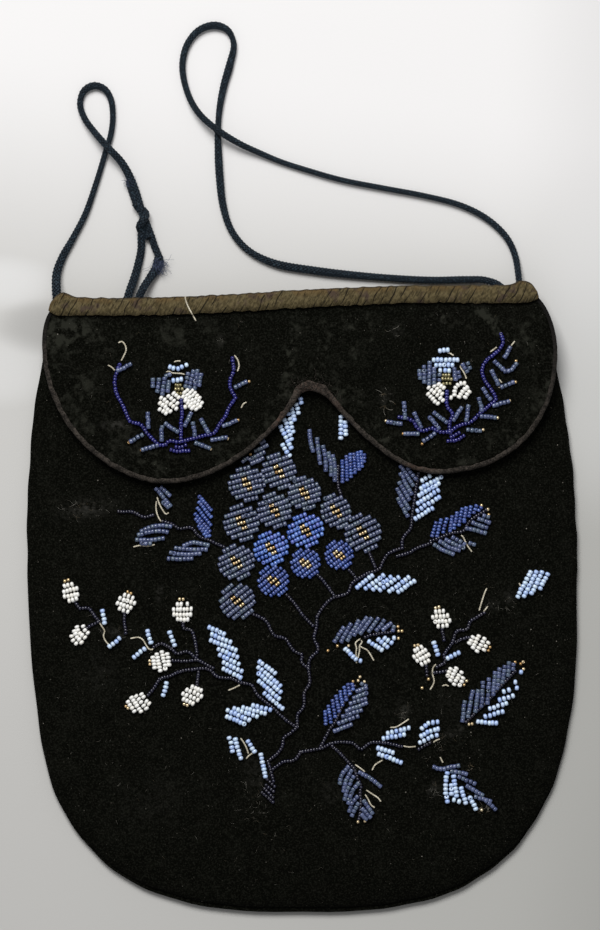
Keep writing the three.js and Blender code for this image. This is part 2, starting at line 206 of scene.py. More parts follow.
# The cords are navy silk, plaited from twelve strands, six each way, soft enough to pull thin or lie flat.
# Each makes a loop on the table with both ends sewn into the mouth; the left one is knotted to its tail.
CORD_DIAMETER = 2.3
CORE_SIDES = 8  # of the core that the strands are plaited round
CURVE_STEPS = 40  # between two points of a charted line
WELD = 1e-7  # metres
CORD_SQUASH = 0.92  # how deep it is when it is no wider than its diameter
TABLE_CLEAR = 0.03  # least height of a strand over the table
PLAIT = {"strands": 6, "turn": 7.2, "step": 0.3, "weave": 0.14, "wide": 0.29, "thick": 0.2, "sides": 4}
CORD_NAVY = (0.0010, 0.0022, 0.0040)
CORD_CREST_HIGHLIGHT = (0.0070, 0.0150, 0.0240)
CORD_RUBBED_AND_GLINTS = (0.036, 0.060, 0.080)
FRAY_BLUE = (0.030, 0.040, 0.085)
FRAY_PALE = (0.13, 0.16, 0.25)
CORD_WIDTHS = {  # share of the cord's length, and its width there
    "cord_left": [
        (0, 3.0), (0.05, 3.2), (0.08, 3.1), (0.13, 2.7), (0.17, 2.3), (0.3, 2.0), (0.42, 2.1), (0.46, 2.3),
        (0.5, 2.7), (0.53, 2.2), (0.6, 2.3), (0.66, 2.6), (0.72, 2.9), (0.8, 2.6), (0.88, 2.8), (1, 3.0),
    ],
    "cord_tail": [(0, 2.4), (0.28, 2.6), (0.36, 2.6), (0.42, 3.8), (0.5, 3.5), (0.62, 2.8), (1, 2.8)],
    "cord_right": [
        (0, 2.2), (0.05, 2.3), (0.08, 2.3), (0.15, 2.0), (0.3, 1.95), (0.36, 2.4), (0.42, 2.2), (0.47, 2.4),
        (0.5, 2.8), (0.52, 2.0), (0.55, 2.8), (0.58, 2.4), (0.6, 2.1), (0.64, 2.8), (0.66, 2.8), (0.7, 2.4),
        (0.74, 2.4), (0.77, 2.9), (0.81, 2.9), (0.86, 2.5), (0.95, 2.5), (1, 2.4),
    ],
}
LEFT_ROUTE = [
    (-79.0, 90.5, 4.3), (-79.1, 95.0, 4.3), (-79.4, 99.5, 3.9), (-79.3, 104.5, 2.2), (-77.6, 109.5, 1.3),
    (-74.3, 115.5, 1.25), (-70.1, 123.7, 1.25), (-66.7, 133.4, 1.25), (-63.6, 143.6, 1.25),
    (-61.8, 149.8, 1.25), (-61.2, 155.5, 1.25), (-61.9, 161.0, 1.25), (-64.0, 164.2, 1.25),
    (-67.4, 165.2, 1.25), (-70.6, 163.4, 1.25), (-71.8, 159.4, 1.25), (-70.4, 154.8, 1.7),
    (-67.2, 150.3, 2.9), (-62.8, 145.2, 3.9), (-58.1, 140.0, 2.9), (-54.8, 133.6, 1.6),
    (-52.4, 126.3, 1.9), (-51.3, 121.5, 2.3), (-52.0, 117.0, 1.7), (-52.0, 112.5, 1.25),
    (-53.1, 107.0, 1.25), (-54.3, 102.8, 2.2), (-55.6, 99.0, 3.8), (-56.7, 95.0, 4.3), (-57.4, 91.0, 4.3),
]
TAIL_ROUTE = [
    (-50.7, 122.0, 2.3), (-48.9, 117.0, 1.7), (-47.6, 113.0, 1.25), (-46.4, 109.8, 1.25),
    (-46.8, 106.6, 1.3), (-48.9, 103.4, 2.2), (-51.2, 99.8, 3.8), (-53.0, 95.6, 4.3), (-54.0, 91.0, 4.3),
]
RIGHT_ROUTE = [
    (70.4, 94.5, 4.3), (70.3, 99.5, 4.2), (69.9, 104.5, 2.6), (69.0, 110.0, 1.3), (66.7, 115.3, 1.25),
    (63.1, 119.5, 1.25), (57.9, 123.4, 1.25), (50.5, 126.8, 1.25), (39.5, 129.6, 1.25),
    (26.2, 132.1, 1.25), (12.9, 134.7, 1.25), (2.9, 137.5, 1.25), (-6.8, 140.6, 1.25),
    (-13.6, 143.4, 1.7), (-20.4, 146.5, 2.9), (-27.2, 150.7, 3.9), (-33.3, 156.2, 2.9),
    (-36.9, 162.6, 1.6), (-38.7, 171.6, 1.25), (-37.1, 178.6, 1.25), (-33.2, 183.2, 1.25),
    (-28.4, 184.7, 1.25), (-24.1, 183.2, 1.25), (-22.1, 178.9, 1.25), (-23.3, 172.3, 1.25),
    (-25.3, 165.2, 1.25), (-26.7, 157.7, 1.25), (-27.2, 150.7, 1.25), (-27.1, 144.4, 1.25),
    (-26.6, 135.4, 1.25), (-25.5, 126.3, 1.25), (-22.9, 118.5, 1.25), (-17.8, 112.3, 1.25),
    (-9.4, 107.9, 1.25), (4.0, 105.4, 1.25), (23.0, 103.4, 1.25), (42.1, 102.3, 1.25),
    (53.0, 102.5, 1.35), (59.6, 102.2, 2.6), (64.4, 100.0, 4.1), (66.4, 94.5, 4.3),
]
KNOT = {"middle": (-51.5, 121.4, 2.6), "length": 12.0, "lean": 0.16, "turns": 1.5, "radius": 1.3, "steps": 80}
KNOT_CORD = 2.8  # the cord's diameter where the knot pulls it tight
STUB_CORD = 2.3
STUB_ROUTE = [
    (-52.4, 124.4, 2.0), (-53.1, 125.8, 1.7), (-54.1, 128.0, 1.4), (-55.0, 130.5, 1.2),
    (-55.7, 132.8, 1.15), (-56.1, 134.6, 1.1),
]
FRAY = {"radius": 0.035, "step": 0.5, "sides": 4, "bend": 1.1}
FRAY_ROOTS = (1.2, 1.3, 0.7)  # how far either way from the middle of a fray the fibres start
FRAY_TIPS = (0.1, 2.4)  # how high they end
FRAY_HALF = {"least": 0.12, "most": 0.5, "power": 1.4}  # half of a fibre, as a share of the longest
FRAYS = [  # where the plait has come apart, the way that the fibres point in degrees, and the longest of them
    {"pixel": (156, 263), "height": 2.2, "fibres": 110, "heading": (-140, 50), "longest": 8},
    {"pixel": (131, 184), "height": 2.0, "fibres": 80, "heading": (60, 200), "longest": 3.5},
]


def lerp(low, high, share):
    return low + (high - low) * share


def unit(vectors):
    return vectors / np.linalg.norm(vectors, axis=-1, keepdims=True)


def smooth_line(points, step):
    """Points one step apart on a smooth line through these, as a centripetal Catmull-Rom curve."""
    points = np.array(points, float)
    if len(points) > 2:
        ends = 2 * points[[0, -1]] - points[[1, -2]]
        padded = np.concatenate([ends[:1], points, ends[1:]])
        jumps = np.diff(padded, axis=0)
        gaps = np.linalg.norm(jumps, axis=1, keepdims=True) ** 0.5
        slopes = jumps / gaps
        tangents = slopes[:-1] + slopes[1:] - (padded[2:] - padded[:-2]) / (gaps[:-1] + gaps[1:])
        leave, arrive = tangents[:-1] * gaps[1:-1], tangents[1:] * gaps[1:-1]
        share = np.linspace(0, 1, CURVE_STEPS, endpoint=False)[None, :, None]
        bow = 2 * share**3 - 3 * share**2
        pieces = (1 + bow) * points[:-1, None] - bow * points[1:, None]
        pieces = pieces + (share**3 - 2 * share**2 + share) * leave[:, None]
        pieces = pieces + (share**3 - share**2) * arrive[:, None]
        points = np.concatenate([pieces.reshape(-1, points.shape[1]), points[-1:]])
    lengths = np.linalg.norm(np.diff(points, axis=0), axis=1)
    along = np.concatenate([[0], np.cumsum(lengths)])
    count = max(1, round(along[-1] / step))
    stops = np.linspace(0, along[-1], count + 1)
    return np.stack([np.interp(stops, along, column) for column in points.T], axis=1)


def skin(rings):
    """Points and quads of a closed tube through rings of points, each ring anticlockwise seen from ahead."""
    stations, sides = rings.shape[:2]
    index = np.arange(stations * sides).reshape(stations, sides)
    after = np.roll(index, -1, axis=1)
    quads = np.stack([index[:-1], after[:-1], after[1:], index[1:]], axis=-1)
    return rings.reshape(-1, 3), quads.reshape(-1, 4)


def joined(parts):
    """Several lots of points and quads as one lot."""
    points, quads, count = [], [], 0
    for part_points, part_quads in parts:
        points.append(part_points)
        quads.append(part_quads + count)
        count += len(part_points)
    return np.concatenate(points), np.concatenate(quads)


def new_piece(name, points, quads, finish, slot, marks=None):
    """A piece of the bag from points in millimetres, welded where they meet. marks holds values by point."""
    mesh = bpy.data.meshes.new(name)
    mesh.from_pydata((points * MM).tolist(), [], quads.tolist())
    for mark, values in (marks or {}).items():
        mesh.attributes.new(mark, "FLOAT", "POINT").data.foreach_set("value", np.asarray(values, np.float32))
    welded = bmesh.new()
    welded.from_mesh(mesh)
    bmesh.ops.remove_doubles(welded, verts=welded.verts, dist=WELD)
    bmesh.ops.dissolve_degenerate(welded, edges=welded.edges, dist=WELD / 10)
    welded.to_mesh(mesh)
    welded.free()
    mesh.materials.append(finish)
    mesh.shade_smooth()
    piece = bpy.data.objects.new(name, mesh)
    bpy.context.scene.collection.objects.link(piece)
    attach(piece, "root")
    return piece


def tube(line, across, above, sides):
    """A tube along a line with these half widths, level and upright, drawn to a point at both ends."""
    ahead = unit(np.gradient(line, axis=0))
    level = unit(np.cross((0, 0, 1), ahead))
    upright = np.cross(ahead, level)
    angle = np.arange(sides) * 2 * np.pi / sides
    swell = np.ones((len(line), 1, 1))
    swell[[0, -1]] = 0
    ring = level[:, None] * across * np.cos(angle)[None, :, None]
    ring = ring + upright[:, None] * above * np.sin(angle)[None, :, None]
    return skin(line[:, None] + ring * swell)


def plaited(line, widths):
    """A cord plaited along a line, this wide at each point: the points and quads of strands that wind both
    ways, and how far each point is over its neighbours."""
    ahead = unit(np.gradient(line, axis=0))
    level = unit(np.cross((0, 0, 1), ahead))
    upright = np.cross(ahead, level)
    size = widths[:, None] / CORD_DIAMETER
    depth = np.minimum(size, 0.5 * (1 + 1 / size)) * CORD_SQUASH
    skin_depth = PLAIT["weave"] + PLAIT["thick"]
    wide_way = level * (size * CORD_DIAMETER / 2 - skin_depth)
    thin_way = upright * (depth * CORD_DIAMETER / 2 - skin_depth)
    ends = np.ones((len(line), 1, 1))
    ends[[0, -1]] = 0
    angle = np.arange(CORE_SIDES) * 2 * np.pi / CORE_SIDES
    core = wide_way[:, None] * np.cos(angle)[None, :, None] + thin_way[:, None] * np.sin(angle)[None, :, None]
    parts = [skin(line[:, None] + core * ends)]
    crest_shades = [np.full(core.shape[:2], -1.0)]
    phase = 2 * np.pi * np.arange(len(line))[:, None] * PLAIT["step"] / PLAIT["turn"]
    angle = np.arange(PLAIT["sides"]) * 2 * np.pi / PLAIT["sides"]
    for way in (1, -1):
        for strand in range(PLAIT["strands"]):
            wound = way * phase + strand * 2 * np.pi / PLAIT["strands"]
            out = wide_way * np.cos(wound) + thin_way * np.sin(wound)
            lifted = way * PLAIT["weave"] * np.cos(PLAIT["strands"] * phase)
            centre = line + out + unit(out) * lifted
            run = unit(np.gradient(centre, axis=0))
            out = unit(out - run * np.sum(out * run, axis=1, keepdims=True))
            beside = np.cross(run, out)
            ring = out[:, None] * PLAIT["thick"] * np.cos(angle)[None, :, None]
            ring = ring + (beside * size)[:, None] * PLAIT["wide"] * np.sin(angle)[None, :, None]
            parts.append(skin(centre[:, None] + ring * ends))
            crest_shades.append(np.repeat(lifted / PLAIT["weave"], PLAIT["sides"], axis=1))
    points, quads = joined(parts)
    points[:, 2] = np.maximum(points[:, 2], TABLE_CLEAR)
    return points, quads, np.concatenate([crest_shade.reshape(-1) for crest_shade in crest_shades])


cord_silk, shader, start = new_finish("navy_silk", Roughness=0.6, Specular_IOR_Level=0.25)
crest_shade = start.node("Attribute", {"attribute_name": "crest_shade"}, {}, output="Fac")
# painted highlight where each strand crosses over, and painted shade where it passes under
navy_with_painted_crests = (crest_shade.between(-0.7, 1) * (0.5 + start.noise(2.2))).colour(CORD_NAVY, CORD_CREST_HIGHLIGHT)
# pale specks: partly rubbed fibres, partly painted highlights on the plait's picks
(0.75 * start.noise(0.6, 2).between(0.54, 0.64)).colour(navy_with_painted_crests, CORD_RUBBED_AND_GLINTS).feed(shader, "Base Color")
start.noise(0.12).raise_nap(shader, 0.05)

routes = {"cord_left": LEFT_ROUTE, "cord_tail": TAIL_ROUTE, "cord_right": RIGHT_ROUTE}
cord_lines = {name: smooth_line(route, PLAIT["step"]) for name, route in routes.items()}
for name, line in cord_lines.items():
    widths = np.interp(np.linspace(0, 1, len(line)), *zip(*CORD_WIDTHS[name]))
    points, quads, crest_shade = plaited(line, widths)
    new_piece(name, points, quads, cord_silk, "cord_silk", {"crest_shade": crest_shade})
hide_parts("cord_left", "cord_left_end")
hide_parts("cord_tail")
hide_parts("cord_right")

turns = np.linspace(-0.5, 0.5, KNOT["steps"])
wind = np.pi / 2 - 2 * np.pi * KNOT["turns"] * turns
coil = [KNOT["radius"] * np.cos(wind), turns * KNOT["length"], KNOT["radius"] * np.sin(wind)]
leant = np.array(Matrix.Rotation(KNOT["lean"], 3, "Z"))
knot_line = smooth_line(np.stack(coil, axis=1) @ leant.T + KNOT["middle"], PLAIT["step"])
stub_line = smooth_line(STUB_ROUTE, PLAIT["step"])
knotted = [
    plaited(knot_line, np.full(len(knot_line), KNOT_CORD)),
    plaited(stub_line, np.full(len(stub_line), STUB_CORD)),
]
knot_crest_shades = {"crest_shade": np.concatenate([crest_shade for _, _, crest_shade in knotted])}
points, quads = joined([(points, quads) for points, quads, _ in knotted])
knot = new_piece("cord_knot", points, quads, cord_silk, "cord_silk", knot_crest_shades)
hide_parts("cord_knot")

frayed_silk, shader, start = new_finish("frayed_silk", Roughness=0.7, Specular_IOR_Level=0.2)
start.noise(0.8, 2).between(0.35, 0.7).colour(FRAY_BLUE, FRAY_PALE).feed(shader, "Base Color")
start.noise(0.1).raise_nap(shader, 0.02)
draw = np.random.default_rng(7)
fibres = []
for spot in FRAYS:
    middle = np.array((*from_photo(*spot["pixel"], spot["height"]), spot["height"]))
    for _ in range(spot["fibres"]):
        heading = math.radians(draw.uniform(*spot["heading"]))
        bend = heading + draw.uniform(-FRAY["bend"], FRAY["bend"])
        half = draw.uniform(FRAY_HALF["least"], FRAY_HALF["most"]) ** FRAY_HALF["power"] * spot["longest"]
        root = middle + draw.uniform(-1, 1, 3) * FRAY_ROOTS
        elbow = root + half * np.array((math.cos(heading), math.sin(heading), 0))
        tip = elbow + half * np.array((math.cos(bend), math.sin(bend), 0))
        tip[2] = draw.uniform(*FRAY_TIPS)
        fibre = smooth_line([root, elbow, tip], FRAY["step"])
        fibres.append(tube(fibre, FRAY["radius"], FRAY["radius"], FRAY["sides"]))
fray = new_piece("cord_tail_fray", *joined(fibres), frayed_silk, "cord_silk")

for name, companions in (("cord_left", [knot]), ("cord_tail", [fray]), ("cord_right", [])):
    line = cord_lines[name]
    line[0] * MM
    (line[::4] * MM).tolist()

# The back is one piece of black cotton velvet with a round bottom, lying flat on the table.
# Its edge curls up to the seam that joins it to the front, and its mouth is bound with ribbon.
WIDEST_HALF = BAG_WIDTH / 2
WIDEST_Y = 3.5
BOTTOM_DEPTH = 105.5
BOTTOM_POWER = 2.92
ROUND_SHARE = 0.55  # the part of a side's grid that goes round the bottom
MOUTH_HALF = {-1: 78.5, 1: 74.5}  # left and right
SIDE_POWER = {-1: 3, 1: 2.4}
LEFT_DENT = {"y": -30, "depth": 1.5, "spread": 25}
SEAM_WAVES = ((7.5, 0.12), (17, 0.1))  # how often the sewn edge wanders in and out up a side, and how far
SEAM_UNLIKE = 0.15  # how much oftener the right side wanders than both on average, as a share
SEAM_STILL = (0.8, 1)  # shares of the way up between which the wandering dies down
MOUTH_LEVEL = (96.5, 100.6)
MOUTH_RISE = (-60, 45)
CLOTH = 1
PRESSED_CLOTH = 0.6
CLEAR = 0.3
SEAM_Z = 2
RIBBON_WIDTH = 5.8
RIBBON_WALL = 0.8
PRESSED_TO = 2.4  # ribbon widths below the mouth where the cloth is full again
HELD_TO = 3  # and where the back is down on the table
BACK_MOUTH_LOWER = 1.6
EDGE_CURL_FROM = 0.86
BACK_GRID = {"columns": 66, "rows": 84}
VELVET_BLACK = (0.0015, 0.0016, 0.0008)
VELVET_GREY = (0.0200, 0.0205, 0.0155)
VELVET_DUST = (0.085, 0.082, 0.072)
LINT = (0.27, 0.25, 0.21)
PILE = 0.55  # grain of the pile
MOTTLE = {"fine": 2.0, "coarse": 6, "turn": -58, "stretch": 1.7}
Speck = namedtuple("Speck", "gap size likely pale")  # gap in millimetres, size as a share of it
SPECKS = [Speck(4.6, 0.05, 0.52, 1), Speck(2.3, 0.07, 0.56, 0.7), Speck(1.2, 0.12, 0.55, 0.3)]


def smoothstep(value, low, high):
    share = np.clip((value - low) / (high - low), 0, 1)
    return share * share * (3 - 2 * share)


def hump(distance, spread):
    return np.exp(-((distance / spread) ** 2))


def mouth_y(x):
    return lerp(*MOUTH_LEVEL, smoothstep(x, *MOUTH_RISE))


def cloth_at(below):
    """How thick a sheet is, this far below the mouth: the ribbon's stitching presses it thin."""
    return lerp(PRESSED_CLOTH, CLOTH, smoothstep(below, RIBBON_WIDTH, PRESSED_TO * RIBBON_WIDTH))


def panel_places(grid, inset, shorter, mouth_lower):
    """x, y and how far out towards the edge, over a panel's grid from its bottom up to its mouth."""
    across = np.linspace(-1, 1, grid["columns"] + 1)[None, :]
    along = np.linspace(0, 1, grid["rows"] + 1)[:, None]
    side = np.where(across < 0, -1, 1)
    reach = np.sin(np.abs(across) * np.pi / 2) + 0 * along
    turn = np.minimum(along / ROUND_SHARE, 1) * np.pi / 2
    power = 2 / BOTTOM_POWER
    round_x = reach * (WIDEST_HALF - inset) * np.sin(turn) ** power
    round_y = WIDEST_Y - reach * (BOTTOM_DEPTH - shorter - inset) * np.maximum(np.cos(turn), 0) ** power
    climb = np.maximum(along - ROUND_SHARE, 0) / (1 - ROUND_SHARE)
    drawn_in = np.where(
        side < 0,
        (WIDEST_HALF - MOUTH_HALF[-1]) * climb ** SIDE_POWER[-1],
        (WIDEST_HALF - MOUTH_HALF[1]) * climb ** SIDE_POWER[1],
    )
    side_x = reach * (WIDEST_HALF - drawn_in - inset)
    often = 2 * np.pi * (1 + SEAM_UNLIKE * side)
    waves = sum(out * np.sin(count * often * along) for count, out in SEAM_WAVES)
    waves = waves * reach**4 * (1 - smoothstep(along, *SEAM_STILL))
    x = side * (np.where(along < ROUND_SHARE, round_x, side_x) + waves * np.sin(turn))
    y = np.where(along < ROUND_SHARE, round_y, lerp(WIDEST_Y, mouth_y(x) - mouth_lower, climb))
    y = y - waves * np.cos(turn)
    dent = reach**2 * LEFT_DENT["depth"] * hump(y - LEFT_DENT["y"], LEFT_DENT["spread"])
    return np.where(x < 0, x + dent, x), y, reach


def cloth_body(top, under, folded_start):
    """Points and quads of a closed sheet between two grids of points, each from left to right and up."""
    rows, columns = top.shape[0] - 1, top.shape[1] - 1
    over = np.arange(top.shape[0] * top.shape[1]).reshape(top.shape[:2])
    below = over + over.size
    quads = [
        np.stack([over[:-1, :-1], over[:-1, 1:], over[1:, 1:], over[1:, :-1]], axis=-1),
        np.stack([below[:-1, :-1], below[1:, :-1], below[1:, 1:], below[:-1, 1:]], axis=-1),
        np.stack([over[:-1, 0], over[1:, 0], below[1:, 0], below[:-1, 0]], axis=-1),
        np.stack([over[:-1, columns], below[:-1, columns], below[1:, columns], over[1:, columns]], axis=-1),
        np.stack([over[rows, :-1], over[rows, 1:], below[rows, 1:], below[rows, :-1]], axis=-1),
    ]
    if not folded_start:
        quads.append(np.stack([over[0, :-1], below[0, :-1], below[0, 1:], over[0, 1:]], axis=-1))
    points = np.concatenate([top.reshape(-1, 3), under.reshape(-1, 3)])
    return points, np.concatenate([part.reshape(-1, 4) for part in quads])


velvet, shader, start = new_finish(
    "black_velvet", Roughness=0.95, Specular_IOR_Level=0.04, Sheen_Weight=0.035, Sheen_Roughness=0.3,
    Sheen_Tint=(0.62, 0.6, 0.54, 1),
)
worn = start.node("Attribute", {"attribute_name": "worn"}, {}, output="Fac")
crushed_and_sheen = start.node("Attribute", {"attribute_name": "crushed_and_sheen"}, {}, output="Fac")
pile = start.noise(PILE, 3)
drifts = start.noise(MOTTLE["coarse"], 4, turn=MOTTLE["turn"], stretch=MOTTLE["stretch"])
clouds = (0.55 * start.noise(MOTTLE["fine"], 4) + 0.45 * drifts).between(0.47, 0.66)
# greyer where the pile is crushed; on the flap's fold streaks this grey is painted sheen
napped = 0.42 * pile.between(0.44, 0.7) + 2.2 * crushed_and_sheen * clouds
velvet_nap = napped.colour(VELVET_BLACK, VELVET_GREY)
dusty = (worn * start.noise(1.3, 4).between(0.36, 0.68)).colour(velvet_nap, VELVET_DUST)
vector = start.node("TexCoord", {}, {}, output="Object")
fluff = 0
for speck in SPECKS:
    away = start.node("TexVoronoi", {}, {"Vector": vector, "Scale": 1 / (speck.gap * MM)}, output="Distance")
    chosen = start.noise(1.7 * speck.gap, 0).between(speck.likely, speck.likely + 0.06)
    fluff = speck.pale * (1 - away.between(0.3 * speck.size, speck.size)) * chosen + fluff
fluff.colour(dusty, LINT).feed(shader, "Base Color")
(pile + 0.5 * start.noise(1.1, 2)).raise_nap(shader, 0.16)

x, y, reach = panel_places(BACK_GRID, 0, 0, BACK_MOUTH_LOWER + RIBBON_WALL + CLEAR)
below = mouth_y(x) - BACK_MOUTH_LOWER - y
held = 1 - smoothstep(below, RIBBON_WIDTH, HELD_TO * RIBBON_WIDTH)
curl = (SEAM_Z - CLEAR / 2 - CLOTH) * smoothstep(reach, EDGE_CURL_FROM, 1)
lower = lerp(curl, RIBBON_WALL + CLEAR, held)
back_top = np.stack([x, y, lower + cloth_at(below)], axis=-1)
back_under = np.stack([x, y, lower], axis=-1)
back_points, back_quads = cloth_body(back_top, back_under, True)
back_marks = {"worn": np.zeros(len(back_points)), "crushed_and_sheen": np.zeros(len(back_points))}
back = new_piece("back_panel_velvet", back_points, back_quads, velvet, "velvet", back_marks)
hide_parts("back_panel")

# The front is cut to the same shape from the same velvet, a little shorter, and sewn to the back at the edge.
# It domes over the hollow inside, and carries the beading, the dust and the worn places of long use.
FRONT_SHORTER = 1.5
FRONT_GRID = {"columns": 132, "rows": 150}
MOUTH_UNDERSIDE = 8.5
MOUTH_DIP = 1.6
CEILING = 6.6
CROWN = 0.5
DOME_POWER = 5
SLIT_LENGTH = 40
Swell = namedtuple("Swell", "px py spread height")  # pixel of the middle, spread in millimetres
SWELLS = [  # slack in the velvet
    Swell(120, 560, 24, 0.35),
    Swell(480, 560, 30, 0.30),
    Swell(300, 840, 26, -0.30),
    Swell(420, 860, 20, 0.25),
    Swell(90, 740, 22, -0.25),
]
FRONT_CRUSHED = 0.05
Spot = namedtuple("Spot", "px py wide tall turn share")  # pixel, half sizes, degrees, how marked
WORN_PLACES = [
    Spot(88, 508, 9, 3.2, 8, 0.30),
    Spot(100, 675, 7, 9, 0, 0.06),
    Spot(150, 800, 16, 9, 20, 0.05),
    Spot(255, 775, 4, 8, 20, 0.12),
    Spot(115, 633, 5, 1.2, -28, 0.35),
    Spot(160, 595, 0.9, 1.6, 0, 0.6),
    Spot(503, 600, 6, 1.0, 30, 0.35),
    Spot(316, 650, 5, 0.9, 0, 0.12),
    Spot(455, 731, 6.5, 1.0, 27, 0.35),
    Spot(450, 705, 6, 6, 0, 0.06),
    Spot(404, 711, 1.8, 3.2, 0, 0.4),
    Spot(434, 790, 1.3, 2.6, -20, 0.55),
    Spot(330, 792, 4, 5, 0, 0.10),
]


def mouth_underside(x):
    """The underside of the front where the ribbon holds it."""
    return MOUTH_UNDERSIDE - MOUTH_DIP * np.abs(x / MOUTH_HALF[-1]) ** 3


def marked_at(points, places, height):
    """How strongly a table of oval places marks the cloth at each point."""
    marked = np.zeros(len(points))
    for spot in places:
        away = points[:, :2] - from_photo(spot.px, spot.py, height)
        turn = math.radians(spot.turn)
        along = away @ (math.cos(turn), math.sin(turn))
        beside = away @ (-math.sin(turn), math.cos(turn))
        oval = np.hypot(along / spot.wide, beside / spot.tall)
        marked = np.maximum(marked, spot.share * hump(oval, 0.8))
    return marked


def front_layer(inset, is_top):
    x, y, reach = panel_places(FRONT_GRID, inset, FRONT_SHORTER, RIBBON_WALL + CLEAR)
    below = mouth_y(x) - y
    cloth = cloth_at(below) if is_top else 0
    seam = SEAM_Z + CLEAR / 2
    dome = np.sqrt(np.maximum(0, 1 - reach**DOME_POWER))
    body = seam + (CEILING + cloth - seam) * dome + CROWN * (1 - reach**2)
    slack = 0
    for swell in SWELLS:
        middle_x, middle_y = from_photo(swell.px, swell.py, CEILING)
        slack = slack + swell.height * hump(np.hypot(x - middle_x, y - middle_y), swell.spread)
    free = smoothstep(below, RIBBON_WIDTH, SLIT_LENGTH)
    height = lerp(mouth_underside(x) + cloth, body, free) + slack * free * dome
    return np.stack([x, y, height], axis=-1)


front_top = front_layer(0, True)
front_points, front_quads = cloth_body(front_top, front_layer(CLOTH, False), True)
front_marks = {
    "worn": marked_at(front_points, WORN_PLACES, CEILING),
    "crushed_and_sheen": np.full(len(front_points), FRONT_CRUSHED),
}
front = new_piece("front_panel_velvet", front_points, front_quads, velvet, "velvet", front_marks)
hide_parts("front_panel")

# The stems are dark navy glass seed beads, threaded on linen and couched to the velvet in wandering lines
# that rise from a rooted foot and fork to the flowers, leaves and buds. A strand is charted by its bends.
Glass = namedtuple("Glass", "finish diameter pitch end")
BEAD_SIDES = 9
BEAD_STATIONS = (1, 0.74, 0.27, -0.27, -0.74, -1)  # along a bead's hole, as shares of half its length
BEAD_HOLE = {"out": 0.26, "along": 0.7}
BEAD_CHANCE = {"stray": 0.035, "width": (0.93, 1.06), "length": (0.92, 1.02), "swing": 0.07, "rise": 0.05}
TURNED_BEADS = 0.03  # share of beads that have tipped on their thread and show their hole
BEAD_SINK = 0.12  # how much of its diameter a bead sinks into the pile
NAVY = {
    "deep": (0.0036, 0.0036, 0.0125), "light": (0.014, 0.014, 0.043), "odd": (0.014, 0.011, 0.022),
    "diameter": 1.2, "pitch": 0.92, "end": 0.6,
}
CHART_HEIGHT = 8  # of the front's beads over the table
PLUMB_FROM = 100  # height from which a plumb line drops on the cloth
FRONT_STEMS = [  # pixels x, y of each bend
    (268, 761, 276, 755, 282, 747, 284, 738, 292, 732, 297, 727),
    (297, 727, 298, 714, 303.5, 707, 304.5, 692, 309.5, 684, 308.5, 669),
    (308.5, 669, 309.5, 660, 318, 649.5, 314, 638, 316.5, 627, 317, 617),
    (317, 617, 321, 610, 331, 599, 348, 592.5, 352, 583, 357, 579.5),
    (357, 579.5, 366, 574, 380, 568, 383, 561, 389, 553, 402, 548),
    (402, 548, 402.5, 539, 411, 527.5, 411.5, 520),
    (411.5, 520, 414, 502, 417, 482, 418, 473),
    (349, 570, 353, 574, 357, 579.5),
    (369, 552, 371, 557, 375, 567),
    (318, 575, 325, 583, 334, 595),
    (287, 595, 295, 604, 302, 614, 313, 625.5),
    (251.5, 613, 266, 621, 274, 635, 285, 638.5, 294, 651, 302, 655, 301.5, 662, 308, 668),
    (231, 678, 240, 682, 252, 685.5, 257, 694, 272, 707, 285, 719, 296, 727),
    (148, 695, 154, 688, 160, 679, 170, 676, 180, 671.5, 192, 669.5, 208, 669, 218, 677, 231, 678),
    (154, 647, 161, 643.5, 172, 649, 177, 653.5, 187, 651.5, 198, 659.5, 213, 668),
    (173, 660.5, 186, 661, 198, 660),
    (183, 623, 184, 628.5, 191, 630, 195, 641, 197, 655),
    (198.5, 672, 197, 685),
    (75, 602, 80, 608, 89, 608.5, 94, 615, 99, 621),
    (87, 628, 92, 625, 98, 622),
    (124.5, 613, 124.5, 622, 126, 633),
    (118.5, 511.5, 133, 512, 144, 517, 153, 515),
    (163, 521, 172, 524, 179, 528.5, 191, 527.5, 199, 536, 211, 541, 224, 547),
    (397, 556, 408, 553, 417, 548, 431, 543),
    (431, 541, 440, 537.5, 452, 533, 463, 531, 470, 521, 486, 510),
    (338, 466, 338, 484, 341, 496),
    (484, 613, 478, 616.5, 470, 622, 467, 629, 457, 631, 452, 643, 444, 655, 445, 662, 437, 667),
    (442, 629, 443, 635, 444, 640),
    (456, 642, 462, 639, 469, 637.5),
    (434, 673, 440, 672, 446, 671),
    (426, 666, 427, 675),
    (300, 752, 311, 750, 322, 748, 332, 743, 352, 743, 361, 749, 370, 743, 386, 743, 402, 746.5),
    (273, 769, 283, 762, 294, 760, 301, 752),
    (321, 746, 325, 738, 329, 730),
    (329, 730, 335, 722, 341, 709, 347, 698, 355, 686),
    (332, 746, 338, 751, 347, 761, 354, 768),
    (354, 768, 358, 779, 361, 786, 360, 793, 361, 803, 359, 819),
    (365, 637, 376, 634, 391, 632),
    (466, 722, 477, 711, 487, 702, 501, 686, 515, 671),
    (419, 749, 424, 746, 430, 743),
    (268, 761, 270, 768, 271.5, 774, 273.5, 781),
    (267.5, 779.5, 274.5, 786.5), (266, 785, 273.5, 791.5), (264.5, 788.5, 273, 797.5),
    (262, 792.5, 273, 802),
]


